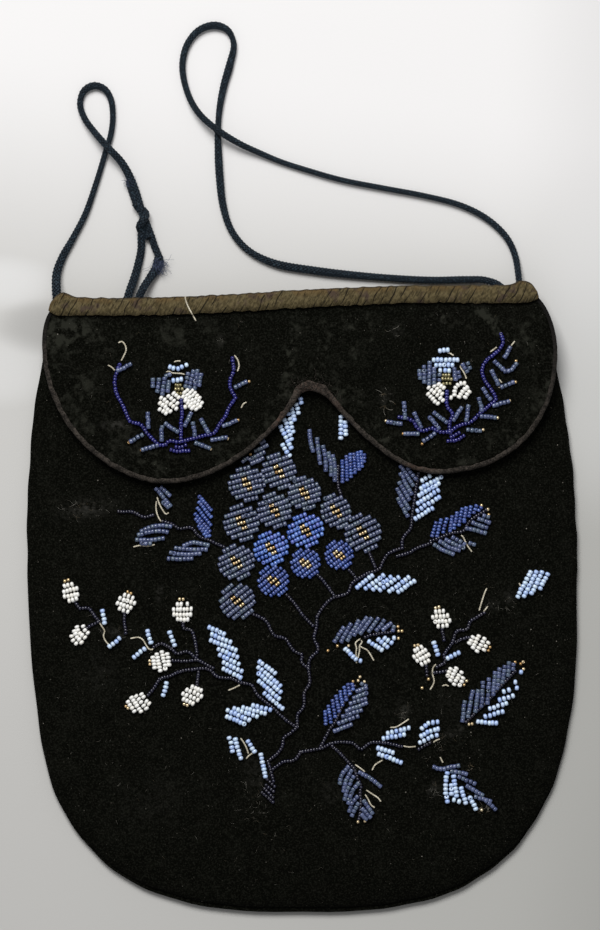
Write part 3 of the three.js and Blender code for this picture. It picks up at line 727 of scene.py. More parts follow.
def seed_glass(name, deep, light, odd, diameter, pitch, end=0.52, side_shade=0.4, roughness=0.2, metal=0):
    """A kind of seed bead: its finish, deep to light with an odd tint on some beads, its sizes, the share of
    its radius left at its ends, and the share of its deep colour left as painted shade low on its sides."""
    finish, shader, start = new_finish(name, Metallic=metal, Coat_Weight=0.75, Coat_Roughness=0.15)
    tone = start.node("Attribute", {"attribute_name": "tone"}, {}, output="Fac")
    shade_height = start.node("Attribute", {"attribute_name": "shade_height"}, {}, output="Fac")
    grime = start.noise(0.5, 2).between(0.35, 0.75)
    glass = (0.72 * tone + 0.28 * grime).colour(deep, light)
    glass = (start.maths("FRACT", 5 * tone, 0).between(0.4, 1) * 0.7).colour(glass, odd)
    # painted shade and light: each bead is painted darker low on its sides and lighter on its top, by height
    sides = tuple(side_shade * part * math.sqrt(part / max(deep)) for part in deep)
    shade_height.between(-0.35, 0.85).colour(sides, glass).feed(shader, "Base Color")
    (grime * 0.14 + roughness).feed(shader, "Roughness")
    return Glass(finish, diameter, pitch, end)


def resting_place(cloth, x, y):
    """Where a plumb line at x, y meets the cloth, and the cloth's normal there."""
    hit, normal, _, _ = cloth.ray_cast(Vector((x, y, PLUMB_FROM)), Vector((0, 0, -1)))
    if hit is None:
        hit, normal, _, _ = cloth.find_nearest(Vector((x, y, CHART_HEIGHT)))
    return np.array(hit), np.array(normal)


def bead_mesh(centres, axes, ups, lengths, widths, end):
    """Points and quads of many holed beads, by their middles, directions and sizes."""
    along = np.array((*BEAD_STATIONS, -BEAD_HOLE["along"], BEAD_HOLE["along"]))
    radius = lerp(end, 1, np.sqrt(1 - along**2))
    radius[-2:] = BEAD_HOLE["out"]
    spin = np.arange(BEAD_SIDES) * 2 * np.pi / BEAD_SIDES
    sides = np.cross(ups, axes)
    shape = along[None, :, None, None] * (axes * lengths[:, None] / 2)[:, None, None, :]
    round_way = np.cos(spin)[None, :, None] * sides[:, None] + np.sin(spin)[None, :, None] * ups[:, None]
    shape = shape + (radius[None, :, None, None] * widths[:, None, None, None] / 2) * round_way[:, None]
    points = centres[:, None, None] + shape
    index = np.arange(points[..., 0].size).reshape(points.shape[:3])
    next_round = np.roll(index, -1, axis=1)
    quads = [index, next_round, np.roll(next_round, -1, axis=2), np.roll(index, -1, axis=2)]
    # how high each point sits on its bead, for the painted shade on its sides
    shade_height = shape[..., 2] / (widths[:, None, None] / 2)
    return points.reshape(-1, 3), np.stack(quads, axis=-1).reshape(-1, 4), shade_height.reshape(-1)


def sew(name, cloth, glass, strands, height=CHART_HEIGHT):
    """Threads beads of one glass along charted strands and lays them on the cloth, as one piece."""
    draw = np.random.default_rng(len(strands) * 31 + round(glass.diameter * 1000))
    places, ways, ups, widths = [], [], [], []
    for strand in strands:
        bends = np.array([from_photo(px, py, height) for px, py in zip(strand[::2], strand[1::2])])
        line = smooth_line(bends, glass.pitch) if len(bends) > 1 else bends
        heads = unit(np.gradient(line, axis=0)) if len(line) > 1 else np.array([(1.0, 0.0)])
        strayed = line + draw.normal(0, BEAD_CHANCE["stray"] * glass.diameter, line.shape)
        for (x, y), head in zip(strayed, heads):
            hit, normal = resting_place(cloth, x, y)
            width = glass.diameter * draw.uniform(*BEAD_CHANCE["width"])
            ahead = np.array((*head, 0.0)) + draw.normal(0, BEAD_CHANCE["swing"], 3)
            ahead = ahead - normal * ahead.dot(normal)
            if draw.uniform() < TURNED_BEADS:
                ahead = 0.5 * ahead + normal * draw.choice((-1, 1))
            rise = 0.5 - BEAD_SINK + draw.uniform(-BEAD_CHANCE["rise"], BEAD_CHANCE["rise"])
            places.append(hit + normal * width * rise)
            ways.append(ahead)
            ups.append(np.cross(ahead, np.cross(normal, (*head, 0.001))))
            widths.append(width)
    widths = np.array(widths)
    lengths = glass.pitch * draw.uniform(*BEAD_CHANCE["length"], len(widths))
    ways, ups = unit(np.array(ways)), unit(np.array(ups))
    points, quads, shade_height = bead_mesh(np.array(places), ways, ups, lengths, widths, glass.end)
    tones = np.repeat(draw.uniform(0, 1, len(widths)), len(points) // len(widths))
    return new_piece(name, points, quads, glass.finish, "seed_beads", {"tone": tones, "shade_height": shade_height})


def surface_of(*pieces):
    """The surface that some pieces make together, to lay beads and threads on."""
    points, faces = [], []
    for piece in pieces:
        first = len(points)
        points += [tuple(corner.co / MM) for corner in piece.data.vertices]
        faces += [[first + corner for corner in face.vertices] for face in piece.data.polygons]
    return BVHTree.FromPolygons(points, faces)


front_cloth = surface_of(front)
navy = seed_glass("navy_glass", **NAVY)
on_front = [sew("front_stem_beads", front_cloth, navy, FRONT_STEMS)]

# The leaves are filled with rows of beads laid side by side: pale blue, slate or cobalt glass, one colour to
# each half. A row is charted by its first and last bead, with bends between them where it curves.
PALE_BLUE = {
    "deep": (0.37, 0.53, 0.95), "light": (0.79, 0.91, 1.0), "odd": (0.67, 0.84, 1.0),
    "diameter": 1.77, "pitch": 1.31, "end": 0.47, "side_shade": 0.42,
}
SLATE = {
    "deep": (0.047, 0.064, 0.149), "light": (0.122, 0.154, 0.295), "odd": (0.09, 0.130, 0.170),
    "diameter": 1.56, "pitch": 1.18, "end": 0.84, "side_shade": 0.5, "roughness": 0.26,
}
COBALT = {
    "deep": (0.023, 0.051, 0.24), "light": (0.12, 0.20, 0.54), "odd": (0.062, 0.078, 0.23),
    "diameter": 1.42, "pitch": 0.98, "end": 0.6, "side_shade": 0.5,
}
PALE_ROWS = [
    # three leaves at the lower left
    (209, 627.5, 224, 634), (212, 634.5, 230, 642), (211, 640.5, 236, 650), (219, 649, 237.5, 657),
    (220, 655, 238.5, 664), (223.5, 662.5, 241.5, 671), (223.5, 668.5, 241, 678),
    (259.5, 661.5, 275, 673), (258.5, 667.5, 280, 685.5), (259, 673.5, 280.5, 692),
    (259, 681, 279, 698.5),
    (264.5, 693.5, 282.5, 708.5),
    (253, 705, 270, 710), (243, 707.5, 265, 713.5), (234, 708.5, 257, 716.5), (228, 710.5, 249, 720),
    (227, 716.5, 244, 724),
    # what is left of the lowest leaf
    (229.5, 738, 233, 751.5), (235.5, 739.5, 240.5, 758), (248, 741.5, 254.5, 751.5),
    (261, 754.5, 265.5, 776.5),
    # two leaves at the flap's notch
    (300.5, 398.5, 301, 402.5), (296.5, 404.5, 298.5, 413), (292, 408.5, 294.5, 420),
    (288.5, 414, 293, 431.5),
    (284.5, 419.5, 291.5, 439), (280.5, 426.5, 291, 448), (282.5, 445, 289.5, 455.5),
    (341, 417, 341, 438), (345, 422.5, 346, 434.5),
    # right of the bunch
    (422, 480.5, 429.5, 476), (421, 488.5, 441, 477), (419, 495.5, 439, 483.5), (418, 503.5, 438, 490.5),
    (417.5, 510.5, 439.5, 497), (415.5, 518.5, 432, 508.5),
    (357, 587.5, 372.5, 575.5), (366, 588.5, 383, 575.5), (373, 589.5, 391, 577),
    (380.5, 590, 398.5, 577),
    (389.5, 591.5, 408.5, 577.5), (398.5, 592, 414, 581),
    # far right
    (530.5, 572, 517.5, 596.5), (536, 572.5, 524, 596), (541.5, 572.5, 531.5, 593.5),
    (547.5, 574.5, 540, 588),
    # lower halves of the leaves right of the trunk
    (345.5, 648.5, 355.5, 659.5), (360.5, 661), (369, 641.5, 382, 650), (378.5, 639.5, 387.5, 647),
    (384.5, 638, 391.5, 642.5), (394, 638),
    (478, 722, 496.5, 723), (485.5, 716.5, 502.5, 711.5), (490, 708.5, 506, 703.5),
    (499.5, 700, 512.5, 696),
    (504, 691.5, 508.5, 690), (517, 688), (515.5, 682.5), (520.5, 672),
    # lower right
    (388, 733, 409, 728), (383.5, 738.5, 404, 734.5), (378, 748, 393, 752.5), (379, 754, 401, 762.5),
    (422, 728.5, 428, 723, 437.5, 722), (421, 736, 429, 731.5, 438, 729), (420, 742.5, 432, 736.5),
    (437, 735.5),
    (447, 773, 445.5, 787, 447, 801), (451, 785, 451.5, 793.5), (453.5, 776.5, 456.5, 796),
    (454, 800, 459, 801.5),
    (461, 788, 465.5, 803), (470, 798, 476, 808.5),
    # single rows by the buds
    (102.3, 611, 105, 623), (110, 646.5, 119.5, 638.5), (147.7, 631, 151, 642.5), (134, 657, 144.5, 649),
    (169.5, 632.5, 174.5, 645), (166.5, 683, 163.5, 695), (434, 642.5, 438, 654.5),
    (447.5, 658, 458.5, 653),
]
SLATE_ROWS = [
    # left of the bunch
    (156.5, 489, 170, 505.5), (161.5, 487.5, 169.5, 495.5), (163.5, 502.5, 168, 507),
    (142, 531, 150, 527.5, 160, 525.5, 170.5, 526.5), (139, 535, 148, 532.5, 158, 531, 167, 532),
    (137, 540, 150, 540, 163, 538.5), (142, 543.5, 150, 543.5),
    (184, 545.5, 194, 542.5, 208, 545), (176, 548, 190, 549.5, 206, 549.5),
    (171, 553, 185, 554.5, 200, 553.5),
    (169, 558.5, 180, 559, 192, 558.5),
    # the paired leaf at the notch
    (309.5, 431, 310.5, 441, 313, 451), (317, 439, 318.5, 451, 320, 463),
    (323, 447, 325.5, 458, 326, 470),
    (328.5, 453, 331, 463, 331, 475), (333, 456, 335, 467, 335, 480),
    # right of the bunch
    (408.1, 468.4, 415.2, 478.8), (400.9, 465.9, 412.7, 484.9), (400.9, 474.5, 411.3, 493.4),
    (399.5, 483.1, 409.1, 499.1), (397.4, 489.5, 408.8, 508.4), (398.1, 499.1, 407.4, 515.6),
    (435, 545, 443, 550, 453, 554), (440, 541.5, 449, 547, 459, 550.5),
    (446, 540, 455, 544.5, 463, 547.5),
    (453, 537.5, 464, 544), (470, 543.5, 474, 545),
    (467, 528.5, 475, 530, 485, 533), (473, 523, 486, 527.5), (479, 519, 489, 522.5),
    (484, 516, 488, 517),
    # right of the trunk
    (335, 641, 343.5, 628), (341.5, 641, 350.5, 624.5), (347.5, 640, 358.5, 621),
    (354.5, 634.5, 366.5, 618),
    (361, 633, 371, 619), (369, 631, 378, 619), (377, 630, 384, 621), (383, 629.5, 390.5, 623.5),
    (393, 630.5, 394, 627),
    (362, 684, 365.5, 686), (357, 691, 366, 688), (354, 698, 366, 693), (351, 703.5, 365.5, 698.5),
    (347, 710.5, 366, 703), (343, 716.5, 361, 710), (339, 723, 357, 716.5), (335, 731, 351, 724.5),
    (462.5, 721, 464.5, 702), (468, 716, 472.5, 691.5), (475.5, 711, 478, 691), (481.5, 706, 483, 682.5),
    (487.5, 703, 489, 679.5), (493, 694, 495, 673), (497.5, 688, 499.5, 669.5), (502.5, 682, 504.5, 667),
    (508, 675, 509, 663), (513, 669, 513.5, 664.5),
    # lowest
    (340, 783, 342, 775, 348, 767), (343.5, 791, 346, 781, 351, 771), (345, 799, 348, 788, 353.5, 777),
    (348.5, 803, 352, 792, 358, 784), (349.5, 811, 352, 803, 357, 797), (352, 815, 358, 804),
    (364, 801, 372, 813), (363, 809, 370, 817), (362, 815, 366, 819), (360, 772.5, 370, 778, 380, 786),
    (434, 767, 441, 769, 450, 767, 458, 765.5), (452, 771, 466, 774), (459, 777, 474, 783.5),
    (467, 786, 482, 795),
    (476, 797, 490, 801), (486, 801, 495, 809),
]
COBALT_ROWS = [
    (200, 497, 211, 510), (199, 502, 211, 517), (197.5, 508, 210.5, 525), (195.5, 514, 210, 531),
    (196, 519, 209.5, 536), (198.5, 526, 206.5, 536.5),
    (342.5, 461, 342.5, 482), (346.5, 456.5, 347, 479.5), (350, 454.5, 351, 476.5),
    (354, 454, 355, 472.5),
    (357.5, 452.5, 359, 469.5), (361, 452, 362, 466.5), (364, 455, 364.5, 461.5),
    (432, 536, 436, 523), (437, 536, 441, 520), (443, 532, 446.5, 519), (450, 531, 452, 517),
    (454, 528, 457, 513),
    (459, 525, 462, 509), (464, 522, 466, 508), (469, 516, 471, 507), (474, 512.5, 476, 506),
    (479, 510.5, 481, 508),
    (325, 711.5, 326, 724), (328.5, 706, 331, 722), (332.5, 700.5, 335, 716.5), (336, 696, 339, 711),
    (340, 691.5, 342.5, 705), (344, 687.5, 346.5, 700), (348, 684.5, 350, 694), (352, 684, 353, 689),
]

pale_blue = seed_glass("pale_blue_glass", **PALE_BLUE)
slate = seed_glass("slate_glass", **SLATE)
cobalt = seed_glass("cobalt_glass", **COBALT)
on_front.append(sew("front_leaf_beads_pale_blue", front_cloth, pale_blue, PALE_ROWS))
on_front.append(sew("front_leaf_beads_slate", front_cloth, slate, SLATE_ROWS))
on_front.append(sew("front_leaf_beads_cobalt", front_cloth, cobalt, COBALT_ROWS))

# The flowers are round patches of slanting rows, in slate, royal blue or cobalt, that crowd into one bunch.
# The three middle rows of each have two, three and two amber beads at their centre.
BUNCH_SLATE = {
    "deep": (0.038, 0.052, 0.113), "light": (0.114, 0.136, 0.235), "odd": (0.072, 0.106, 0.133),
    "diameter": 1.59, "pitch": 1.06, "end": 0.88, "side_shade": 0.5, "roughness": 0.28,
}
ROYAL = {
    "deep": (0.031, 0.087, 0.38), "light": (0.20, 0.36, 0.82), "odd": (0.15, 0.17, 0.54),
    "diameter": 1.52, "pitch": 1.15, "end": 0.6, "side_shade": 0.5, "roughness": 0.18,
}
AMBER = {
    "deep": (0.44, 0.23, 0.06), "light": (0.97, 0.76, 0.41), "odd": (0.97, 0.83, 0.56),
    "diameter": 1.14, "pitch": 0.95, "side_shade": 0.25, "metal": 0.6,
}
FLOWER_ROWS = 7
FLOWER_ROUND = {"power": 1.8, "past": 0.6}  # how its rows grow shorter away from the middle one
EYE = {-1: 2, 0: 3, 1: 2}  # amber beads on the three middle rows
EYE_DRIFT = 1.3  # pixels along the row by which each row's amber sits further on than the last one's
Flower = namedtuple("Flower", "px py wide tall slant glass")  # in pixels, with its rows' slant in degrees
FLOWERS = [
    Flower(247, 484, 38, 36, 15, "slate"),
    Flower(279, 471.5, 35, 38, 19, "slate"),
    Flower(304.5, 493.5, 34, 35, 18, "slate"),
    Flower(274.5, 510.5, 35, 37, 19, "slate"),
    Flower(241.5, 523, 37, 38, 18, "slate"),
    Flower(336, 511.5, 29, 38, 24, "slate"),
    Flower(363, 533, 37, 40, 26, "slate"),
    Flower(236.5, 562.5, 38, 36, 27, "slate"),
    Flower(237.5, 601.5, 37, 37, 38, "slate"),
    Flower(305.5, 530.5, 39, 34, 24, "royal"),
    Flower(271, 548.5, 37, 34, 24, "royal"),
    Flower(305.5, 563.5, 31, 31, 37, "cobalt"),
    Flower(339, 555, 28, 32, 37, "cobalt"),
    Flower(273.5, 581, 31, 34, 40, "cobalt"),
]
HALF_HIDDEN_ROWS = [
    (261, 443, 264, 441), (255.5, 450.5, 267, 445.5), (250, 459.5, 263.5, 452.5),
    (252, 463.5, 262.5, 458.5), (243, 461, 247, 458),
]


def flower_rows(flower, glass):
    """A flower's rows in pixels: those of its own glass, and the amber ones at its centre."""
    middle, size = (flower.px, flower.py), (flower.wide, flower.tall)
    slant = math.radians(flower.slant)
    run = np.array((math.cos(slant), -math.sin(slant)))
    step = np.array((-run[1], run[0]))
    bead, amber_bead = glass.pitch / PIXEL, AMBER["pitch"] / PIXEL
    gap = (math.hypot(*(step * size)) - glass.diameter / PIXEL) / (FLOWER_ROWS - 1)
    longest = (math.hypot(*(run * size)) - bead) / 2
    own, eyes = [], []
    for row in range(FLOWER_ROWS):
        out = row - FLOWER_ROWS // 2
        centre = middle + step * out * gap
        out_share = 2 * abs(out) / (FLOWER_ROWS - FLOWER_ROUND["past"])
        half = run * longest * math.sqrt(1 - out_share ** FLOWER_ROUND["power"])
        if out in EYE:
            eye = centre + run * EYE_DRIFT * out
            amber_half = run * amber_bead * (EYE[out] - 1) / 2
            clear = amber_half + run * (amber_bead + bead) / 2
            eyes.append((*(eye - amber_half), *(eye + amber_half)))
            own.append((*(centre - half), *(eye - clear)))
            own.append((*(eye + clear), *(centre + half)))
        else:
            own.append((*(centre - half), *(centre + half)))
    return own, eyes


royal = seed_glass("royal_blue_glass", **ROYAL)
amber = seed_glass("amber_glass", **AMBER)
bunch_slate = seed_glass("bunch_slate_glass", **BUNCH_SLATE)
flower_glass = {"slate": bunch_slate, "royal": royal, "cobalt": cobalt}
flower_strands = {"slate": list(HALF_HIDDEN_ROWS), "royal": [], "cobalt": []}
eye_strands = []
for flower in FLOWERS:
    own, eyes = flower_rows(flower, flower_glass[flower.glass])
    flower_strands[flower.glass] += own
    eye_strands += eyes
for kind, glass in flower_glass.items():
    on_front.append(sew("front_flower_beads_" + kind, front_cloth, glass, flower_strands[kind]))

# The buds are tight knots of white beads on the stems' ends, most with two amber beads at the tip.
# Amber beads also tip the leaves, and a few are left over where a leaf has lost its own.
WHITE = {
    "deep": (0.96, 0.95, 0.90), "light": (1.0, 0.99, 0.96), "odd": (0.98, 0.94, 0.85),
    "diameter": 1.7, "pitch": 1.18, "end": 0.44, "side_shade": 0.66,
}
BUD_ROWS = [
    (64.3, 586.1, 72.4, 584.2), (64.3, 591.8, 77.2, 588.3), (64.9, 596.8, 78.3, 594.2),
    (69.6, 601, 76.6, 598.6),
    (124.4, 594.9, 132.6, 598), (120, 598.3, 134.6, 603.3), (117.9, 603.3, 130.9, 607.8),
    (119.8, 608.9, 127.7, 611.8),
    (177.1, 604.1, 181, 604.3), (187.8, 603.8), (173.7, 609.4, 190.9, 609.4),
    (173.7, 614.4, 190.7, 614.7),
    (177.4, 619.4, 188, 619.7),
    (72, 636, 73, 640, 76.5, 643.5), (74.5, 631, 77.6, 637.8, 82, 642), (77, 627, 80, 633, 85, 637.5),
    (83, 626.5, 84.8, 630, 88, 633),
    (152.9, 657.3, 154.8, 667.6), (157, 654.1, 160.4, 670.7), (162, 651.9, 165.4, 668.5),
    (167.3, 654.1, 169.2, 664.8),
    (128.1, 702.1, 134.4, 711.1), (131.6, 697.7, 141, 711.6), (136.3, 696.1, 146.3, 708.4),
    (141.3, 694.3, 143.4, 697),
    (146.6, 701.4, 149.1, 703.7),
    (192.2, 686.9, 201.3, 690.7), (186.9, 689.8, 201.3, 696), (183.1, 693.5, 197.8, 699.8),
    (183.8, 699.4, 193.1, 703.8),
    (435.6, 612.1, 443.4, 610.9), (432.8, 617.1, 447.6, 615.9), (435.6, 621.8, 449.5, 620.6),
    (438.1, 626.5, 447, 625.6),
    (469.3, 643.6, 473, 637.4), (472.7, 647.7, 478.6, 636.1), (477.1, 651.1, 484.3, 638.9),
    (483.9, 649.6, 488, 643),
    (414.8, 650.6, 421.3, 647.2), (414.4, 656.9, 425.4, 650), (417.3, 660.6, 428.8, 654.7),
    (421.6, 664.4, 428.5, 660.6),
    (447.5, 675.4, 450.6, 668.5), (450.3, 680.1, 456.3, 668.2), (454.1, 684.1, 460.9, 672.3),
    (459.7, 685.1, 463.1, 678.2),
]
AMBER_TIPS = [
    (65, 581), (68.5, 580), (127.6, 591.8), (131.3, 593.3), (179.9, 599.1, 183.2, 599.1), (149.8, 661),
    (149.8, 664.4), (125.9, 706.1), (128.1, 708.3), (184.1, 704.1), (187.2, 705.4),
    (435.6, 607.8, 438.9, 607.1), (489.9, 647.4), (488.3, 650.5), (414.8, 645.6), (417.9, 645),
    (466.6, 681), (464.1, 684.8), (428.5, 679), (422, 688), (481.5, 505.5), (488, 509.5), (488.5, 515),
    (353, 681.5), (358, 680.5), (360, 677), (364.5, 681.5), (398, 626.5), (398.5, 631, 402, 631),
    (398.5, 638.5), (328, 650.5), (337.5, 646), (348.5, 645.5), (358, 822), (365, 821), (515, 662),
    (520.5, 664), (523, 662), (523.5, 669), (469, 724.5), (472, 724), (482, 810), (250.5, 454),
]

white = seed_glass("white_glass", **WHITE)
on_front.append(sew("front_bud_beads_white", front_cloth, white, BUD_ROWS))
on_front.append(sew("front_amber_beads", front_cloth, amber, eye_strands + AMBER_TIPS))

# The flap is a sheet of the same velvet cut to two scallops. It hangs from the mouth over the front,
# lifts clear of the beads below it, and has soft folds from lying shut.
FLAP_START = (-81, 92.6)
Stretch = namedtuple("Stretch", "leave arrive end")  # of the edge: its two handles and where it ends
FLAP_EDGE = [
    Stretch((-82.6, 91), (-83.9, 87), (-83.9, 82)),
    Stretch((-83.9, 53.5), (-60.3, 36.5), (-44.3, 36.5)),
    Stretch((-24.3, 36.5), (-7.6, 53.4), (-0.9, 64.6)),
    Stretch((0.3, 66.8), (4.8, 67.5), (8.6, 63.4)),
    Stretch((14.5, 57.5), (28, 39.6), (44, 39.6)),
    Stretch((63, 39.6), (82.4, 51.1), (82.4, 79.1)),
    Stretch((82.4, 84.5), (80.4, 93.2), (75.6, 97.2)),
]
FLAP_TOP = (-80.2, 75.4)
RIBBON_ENDS = {  # how far in each end of the mouth's ribbon is round, its top drops and its hem rises
    -1: {"x": -81.8, "round": 4.4, "drop": 4.0, "rise": 1.6},
    1: {"x": 76.4, "round": 4.8, "drop": 3.9, "rise": 1.6},
}
FLAP_HANG = 10.5
FLAP_DROOP = 2.6
FLAP_LIFT = (5, 26)
FLAP_FOLDS = [
    {"x": -49, "lean": 0.1, "height": 0.5, "spread": 8},
    {"x": 17, "lean": -0.5, "height": 0.5, "spread": 9},
    {"x": 52, "lean": -0.7, "height": -0.6, "spread": 9},
]
FLAP_GRID = {"columns": 280, "rows": 40}
FLAP_EDGE_WALL = 0.6
FLAP_CRUSHED = 0.06
FLAP_RUB = {"share": 0.34, "spread": 4.5}  # along the scallops, where the ribbon was pressed on
# the ribbon's stitches gather the velvet there into short ridges, not quite evenly
FLAP_GATHERS = {"gap": 4.4, "least": 0.35, "most": 1.5, "uneven": 1.6, "uneven_length": 9}
CRUSHED_AND_SHEEN_PLACES = [
    Spot(72, 335, 14, 9, -20, 0.75),
    Spot(85, 400, 8, 22, 22, 0.45),
    Spot(150, 455, 22, 6, -30, 0.5),
    Spot(240, 445, 16, 6, 32, 0.45),
    Spot(180, 335, 22, 6, 0, 0.36),
    # these four narrow upright streaks are painted sheen along soft folds in the flap
    Spot(290, 352, 2.2, 14, -8, 0.85),
    Spot(330, 330, 14, 6, 0, 0.32),
    Spot(322, 335, 2.2, 12, 6, 0.75),
    Spot(352, 330, 1.6, 13, 4, 0.65),
    Spot(372, 340, 1.4, 12, 10, 0.55),
    Spot(345, 385, 6, 12, 40, 0.45),
    Spot(385, 440, 18, 5, -40, 0.5),
    Spot(435, 313, 11, 2, -28, 0.85),
    Spot(490, 320, 15, 2.2, -42, 0.9),
    Spot(530, 335, 9, 7, -40, 0.4),
    Spot(549, 380, 5, 22, 0, 0.5),
    Spot(510, 440, 18, 6, 30, 0.5),
    Spot(315, 374, 7, 2.8, -10, 0.8),
    Spot(342, 391, 5, 3, -45, 0.7),
    Spot(283, 392, 3, 5, -30, 0.6),
]
FLAP_WORN = [
    Spot(117, 424.5, 5, 1.5, 0, 0.4),
    Spot(386, 400, 2, 4, 20, 0.22),
    Spot(397, 330, 2.4, 2.4, 0, 0.20),
    Spot(221, 341, 1.2, 2, 0, 0.25),
]


def ribbon_drop(x):
    """How far the mouth ribbon's top drops towards its rounded ends."""
    drop = 0 * x
    for end in RIBBON_ENDS.values():
        past = np.clip(1 - np.abs(end["x"] - x) / end["round"], 0, 1)
        drop = drop + end["drop"] * (1 - np.sqrt(1 - past**2))
    return drop


def flap_edge(count):
    """Points spread evenly along the flap's outer edge, and the level way out of the flap at each."""
    share = np.linspace(0, 1, 80)[:, None]
    line = [np.array([FLAP_START])]
    for stretch in FLAP_EDGE:
        leave, arrive, end = (np.array(place) for place in stretch)
        bends = (1 - share) ** 3 * line[-1][-1] + 3 * (1 - share) ** 2 * share * leave
        bends = bends + 3 * (1 - share) * share**2 * arrive + share**3 * end
        line.append(bends[1:])
    line = np.concatenate(line)
    along = np.concatenate([[0], np.cumsum(np.linalg.norm(np.diff(line, axis=0), axis=1))])
    stops = np.linspace(0, along[-1], count + 1)
    points = np.stack([np.interp(stops, along, column) for column in line.T], axis=1)
    ahead = unit(np.gradient(points, axis=0))
    return points, np.stack([ahead[:, 1], -ahead[:, 0]], axis=1)


def flap_underside(x, y):
    below = mouth_y(x) - y
    held = mouth_underside(x) + PRESSED_CLOTH + CLEAR
    free = FLAP_HANG - FLAP_DROOP * (x / WIDEST_HALF) ** 4
    lifted = smoothstep(below, *FLAP_LIFT)
    folds = 0
    for fold in FLAP_FOLDS:
        folds = folds + fold["height"] * hump(x - fold["x"] - fold["lean"] * below, fold["spread"])
    return lerp(held, free, lifted) + lifted * folds


edge, out = flap_edge(FLAP_GRID["columns"])
inner_edge = edge - (FLAP_EDGE_WALL + CLEAR) * out
top_x = np.linspace(*FLAP_TOP, FLAP_GRID["columns"] + 1)
top_edge = np.stack([top_x, mouth_y(top_x) - ribbon_drop(top_x) - RIBBON_WALL - CLEAR], axis=1)
up_share = np.linspace(0, 1, FLAP_GRID["rows"] + 1)[:, None, None]
level = lerp(inner_edge[None], top_edge[None], up_share)
flap_lower = flap_underside(level[..., 0], level[..., 1])
flap_upper = flap_lower + cloth_at(mouth_y(level[..., 0]) - level[..., 1])
flap_top = np.concatenate([level, flap_upper[..., None]], axis=-1)
flap_under = np.concatenate([level, flap_lower[..., None]], axis=-1)
flap_points, flap_quads = cloth_body(flap_top, flap_under, False)
from_edge = np.linalg.norm(level - inner_edge[None], axis=-1)
round_edge = np.arange(len(edge)) * np.linalg.norm(edge[1] - edge[0])
uneven = FLAP_GATHERS["uneven"] * np.sin(round_edge / FLAP_GATHERS["uneven_length"])
ridges = np.sin(2 * np.pi * round_edge / FLAP_GATHERS["gap"] + uneven)
gathered = lerp(FLAP_GATHERS["least"], FLAP_GATHERS["most"], smoothstep(ridges, -0.6, 0.9))
flap_rub = FLAP_CRUSHED + FLAP_RUB["share"] * hump(from_edge, FLAP_RUB["spread"]) * gathered
flap_crushed_and_sheen = marked_at(flap_points, CRUSHED_AND_SHEEN_PLACES, FLAP_HANG)
flap_marks = {
    "worn": marked_at(flap_points, FLAP_WORN, FLAP_HANG),
    "crushed_and_sheen": np.maximum(flap_crushed_and_sheen, np.tile(flap_rub.reshape(-1), 2)),
}
flap = new_piece("flap_velvet", flap_points, flap_quads, velvet, "velvet", flap_marks)
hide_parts("flap")

# A narrow dark brown silk ribbon is folded over the flap's scalloped edge and sewn through, as a piping.
# It is puckered a little where it goes round the curves.
EDGE_RIBBON = {"width": 1.6, "half": 1.05, "fold": 0.95, "wall": 0.3, "pucker": 0.05, "pucker_length": 1.6}
EDGE_UNEVEN = {"share": 1.5, "length": 7}  # how its puckers crowd and part
EDGE_TUCK = {"left": 26, "right": 60, "width": 0.78}  # where its ends grow narrow, and how narrow, as a share
FOLD_BENDS = 9  # points round a folded ribbon's edge
EDGE_RAGGED = {"gap": 1.3, "half": 0.05, "width": 0.07, "wander": 0.07}
EDGE_NOTCH = {"pixel": (311, 391), "spread": 6.5, "thicker": 0.9}
EDGE_BROWN = (0.013, 0.0112, 0.0092)
EDGE_FADED = (0.076, 0.064, 0.053)
EDGE_PINK = (0.100, 0.062, 0.048)
EDGE_TUCK_SHADE = (0.006, 0.0055, 0.0048)
EDGE_RUBBED = [
    Spot(308, 389, 5, 4, 0, 0.7),
    Spot(420, 466, 8, 3, 0, 0.45),
    Spot(279, 419, 4, 2, 50, 0.8),
    Spot(335, 400, 5, 3, -50, 0.35),
]


def folded_section(width, half, fold, wall, bends):
    """A ribbon folded round an edge, seen from its end, as places out from the cloth and up across it."""
    angle = np.linspace(-np.pi / 2, np.pi / 2, bends)
    outer = np.stack([-fold + fold * np.cos(angle), half * np.sin(angle)], axis=1)
    inner = np.stack([-fold + (fold - wall) * np.cos(angle), (half - wall) * np.sin(angle)], axis=1)[::-1]
    leg = lerp(-fold, -width, np.array((1, 0.5)))
    lower_leg = np.stack([leg, np.full(len(leg), -half)], axis=1)
    upper_leg = lower_leg[::-1] * (1, -1)
    upper_inner = np.stack([leg, np.full(len(leg), half - wall)], axis=1)
    lower_inner = upper_inner[::-1] * (1, -1)
    return np.concatenate([lower_leg, outer, upper_leg, upper_inner, inner, lower_inner])


def strip(middles, outs, ups, sections):
    """Points and quads of a closed section carried along middles, with flat ends."""
    rings = middles[:, None] + outs[:, None] * sections[..., :1] + ups[:, None] * sections[..., 1:]
    ends = rings.mean(axis=1, keepdims=True)[[0, -1]] + 0 * rings[[0, -1]]
    return skin(np.concatenate([ends[:1], rings, ends[1:]]))


edge_silk, shader, start = new_finish("edge_ribbon_silk", Roughness=0.85, Specular_IOR_Level=0.12)
rubbed = start.node("Attribute", {"attribute_name": "rubbed"}, {}, output="Fac")
threads = 0.55 * start.noise(0.55, 3) + 0.45 * start.noise(2.4, 3)
silk = threads.between(0.38, 0.68).colour(EDGE_BROWN, EDGE_FADED)
silk = (rubbed * start.noise(0.9, 3).between(0.35, 0.65)).colour(silk, EDGE_PINK)
# painted shade: the ribbon is darker where its ends tuck under the mouth's ribbon
tucked = start.node("Attribute", {"attribute_name": "tucked"}, {}, output="Fac")
tucked.colour(silk, EDGE_TUCK_SHADE).feed(shader, "Base Color")
(start.noise(0.5, 3) + 0.6 * start.noise(0.25, 2)).raise_nap(shader, 0.2)

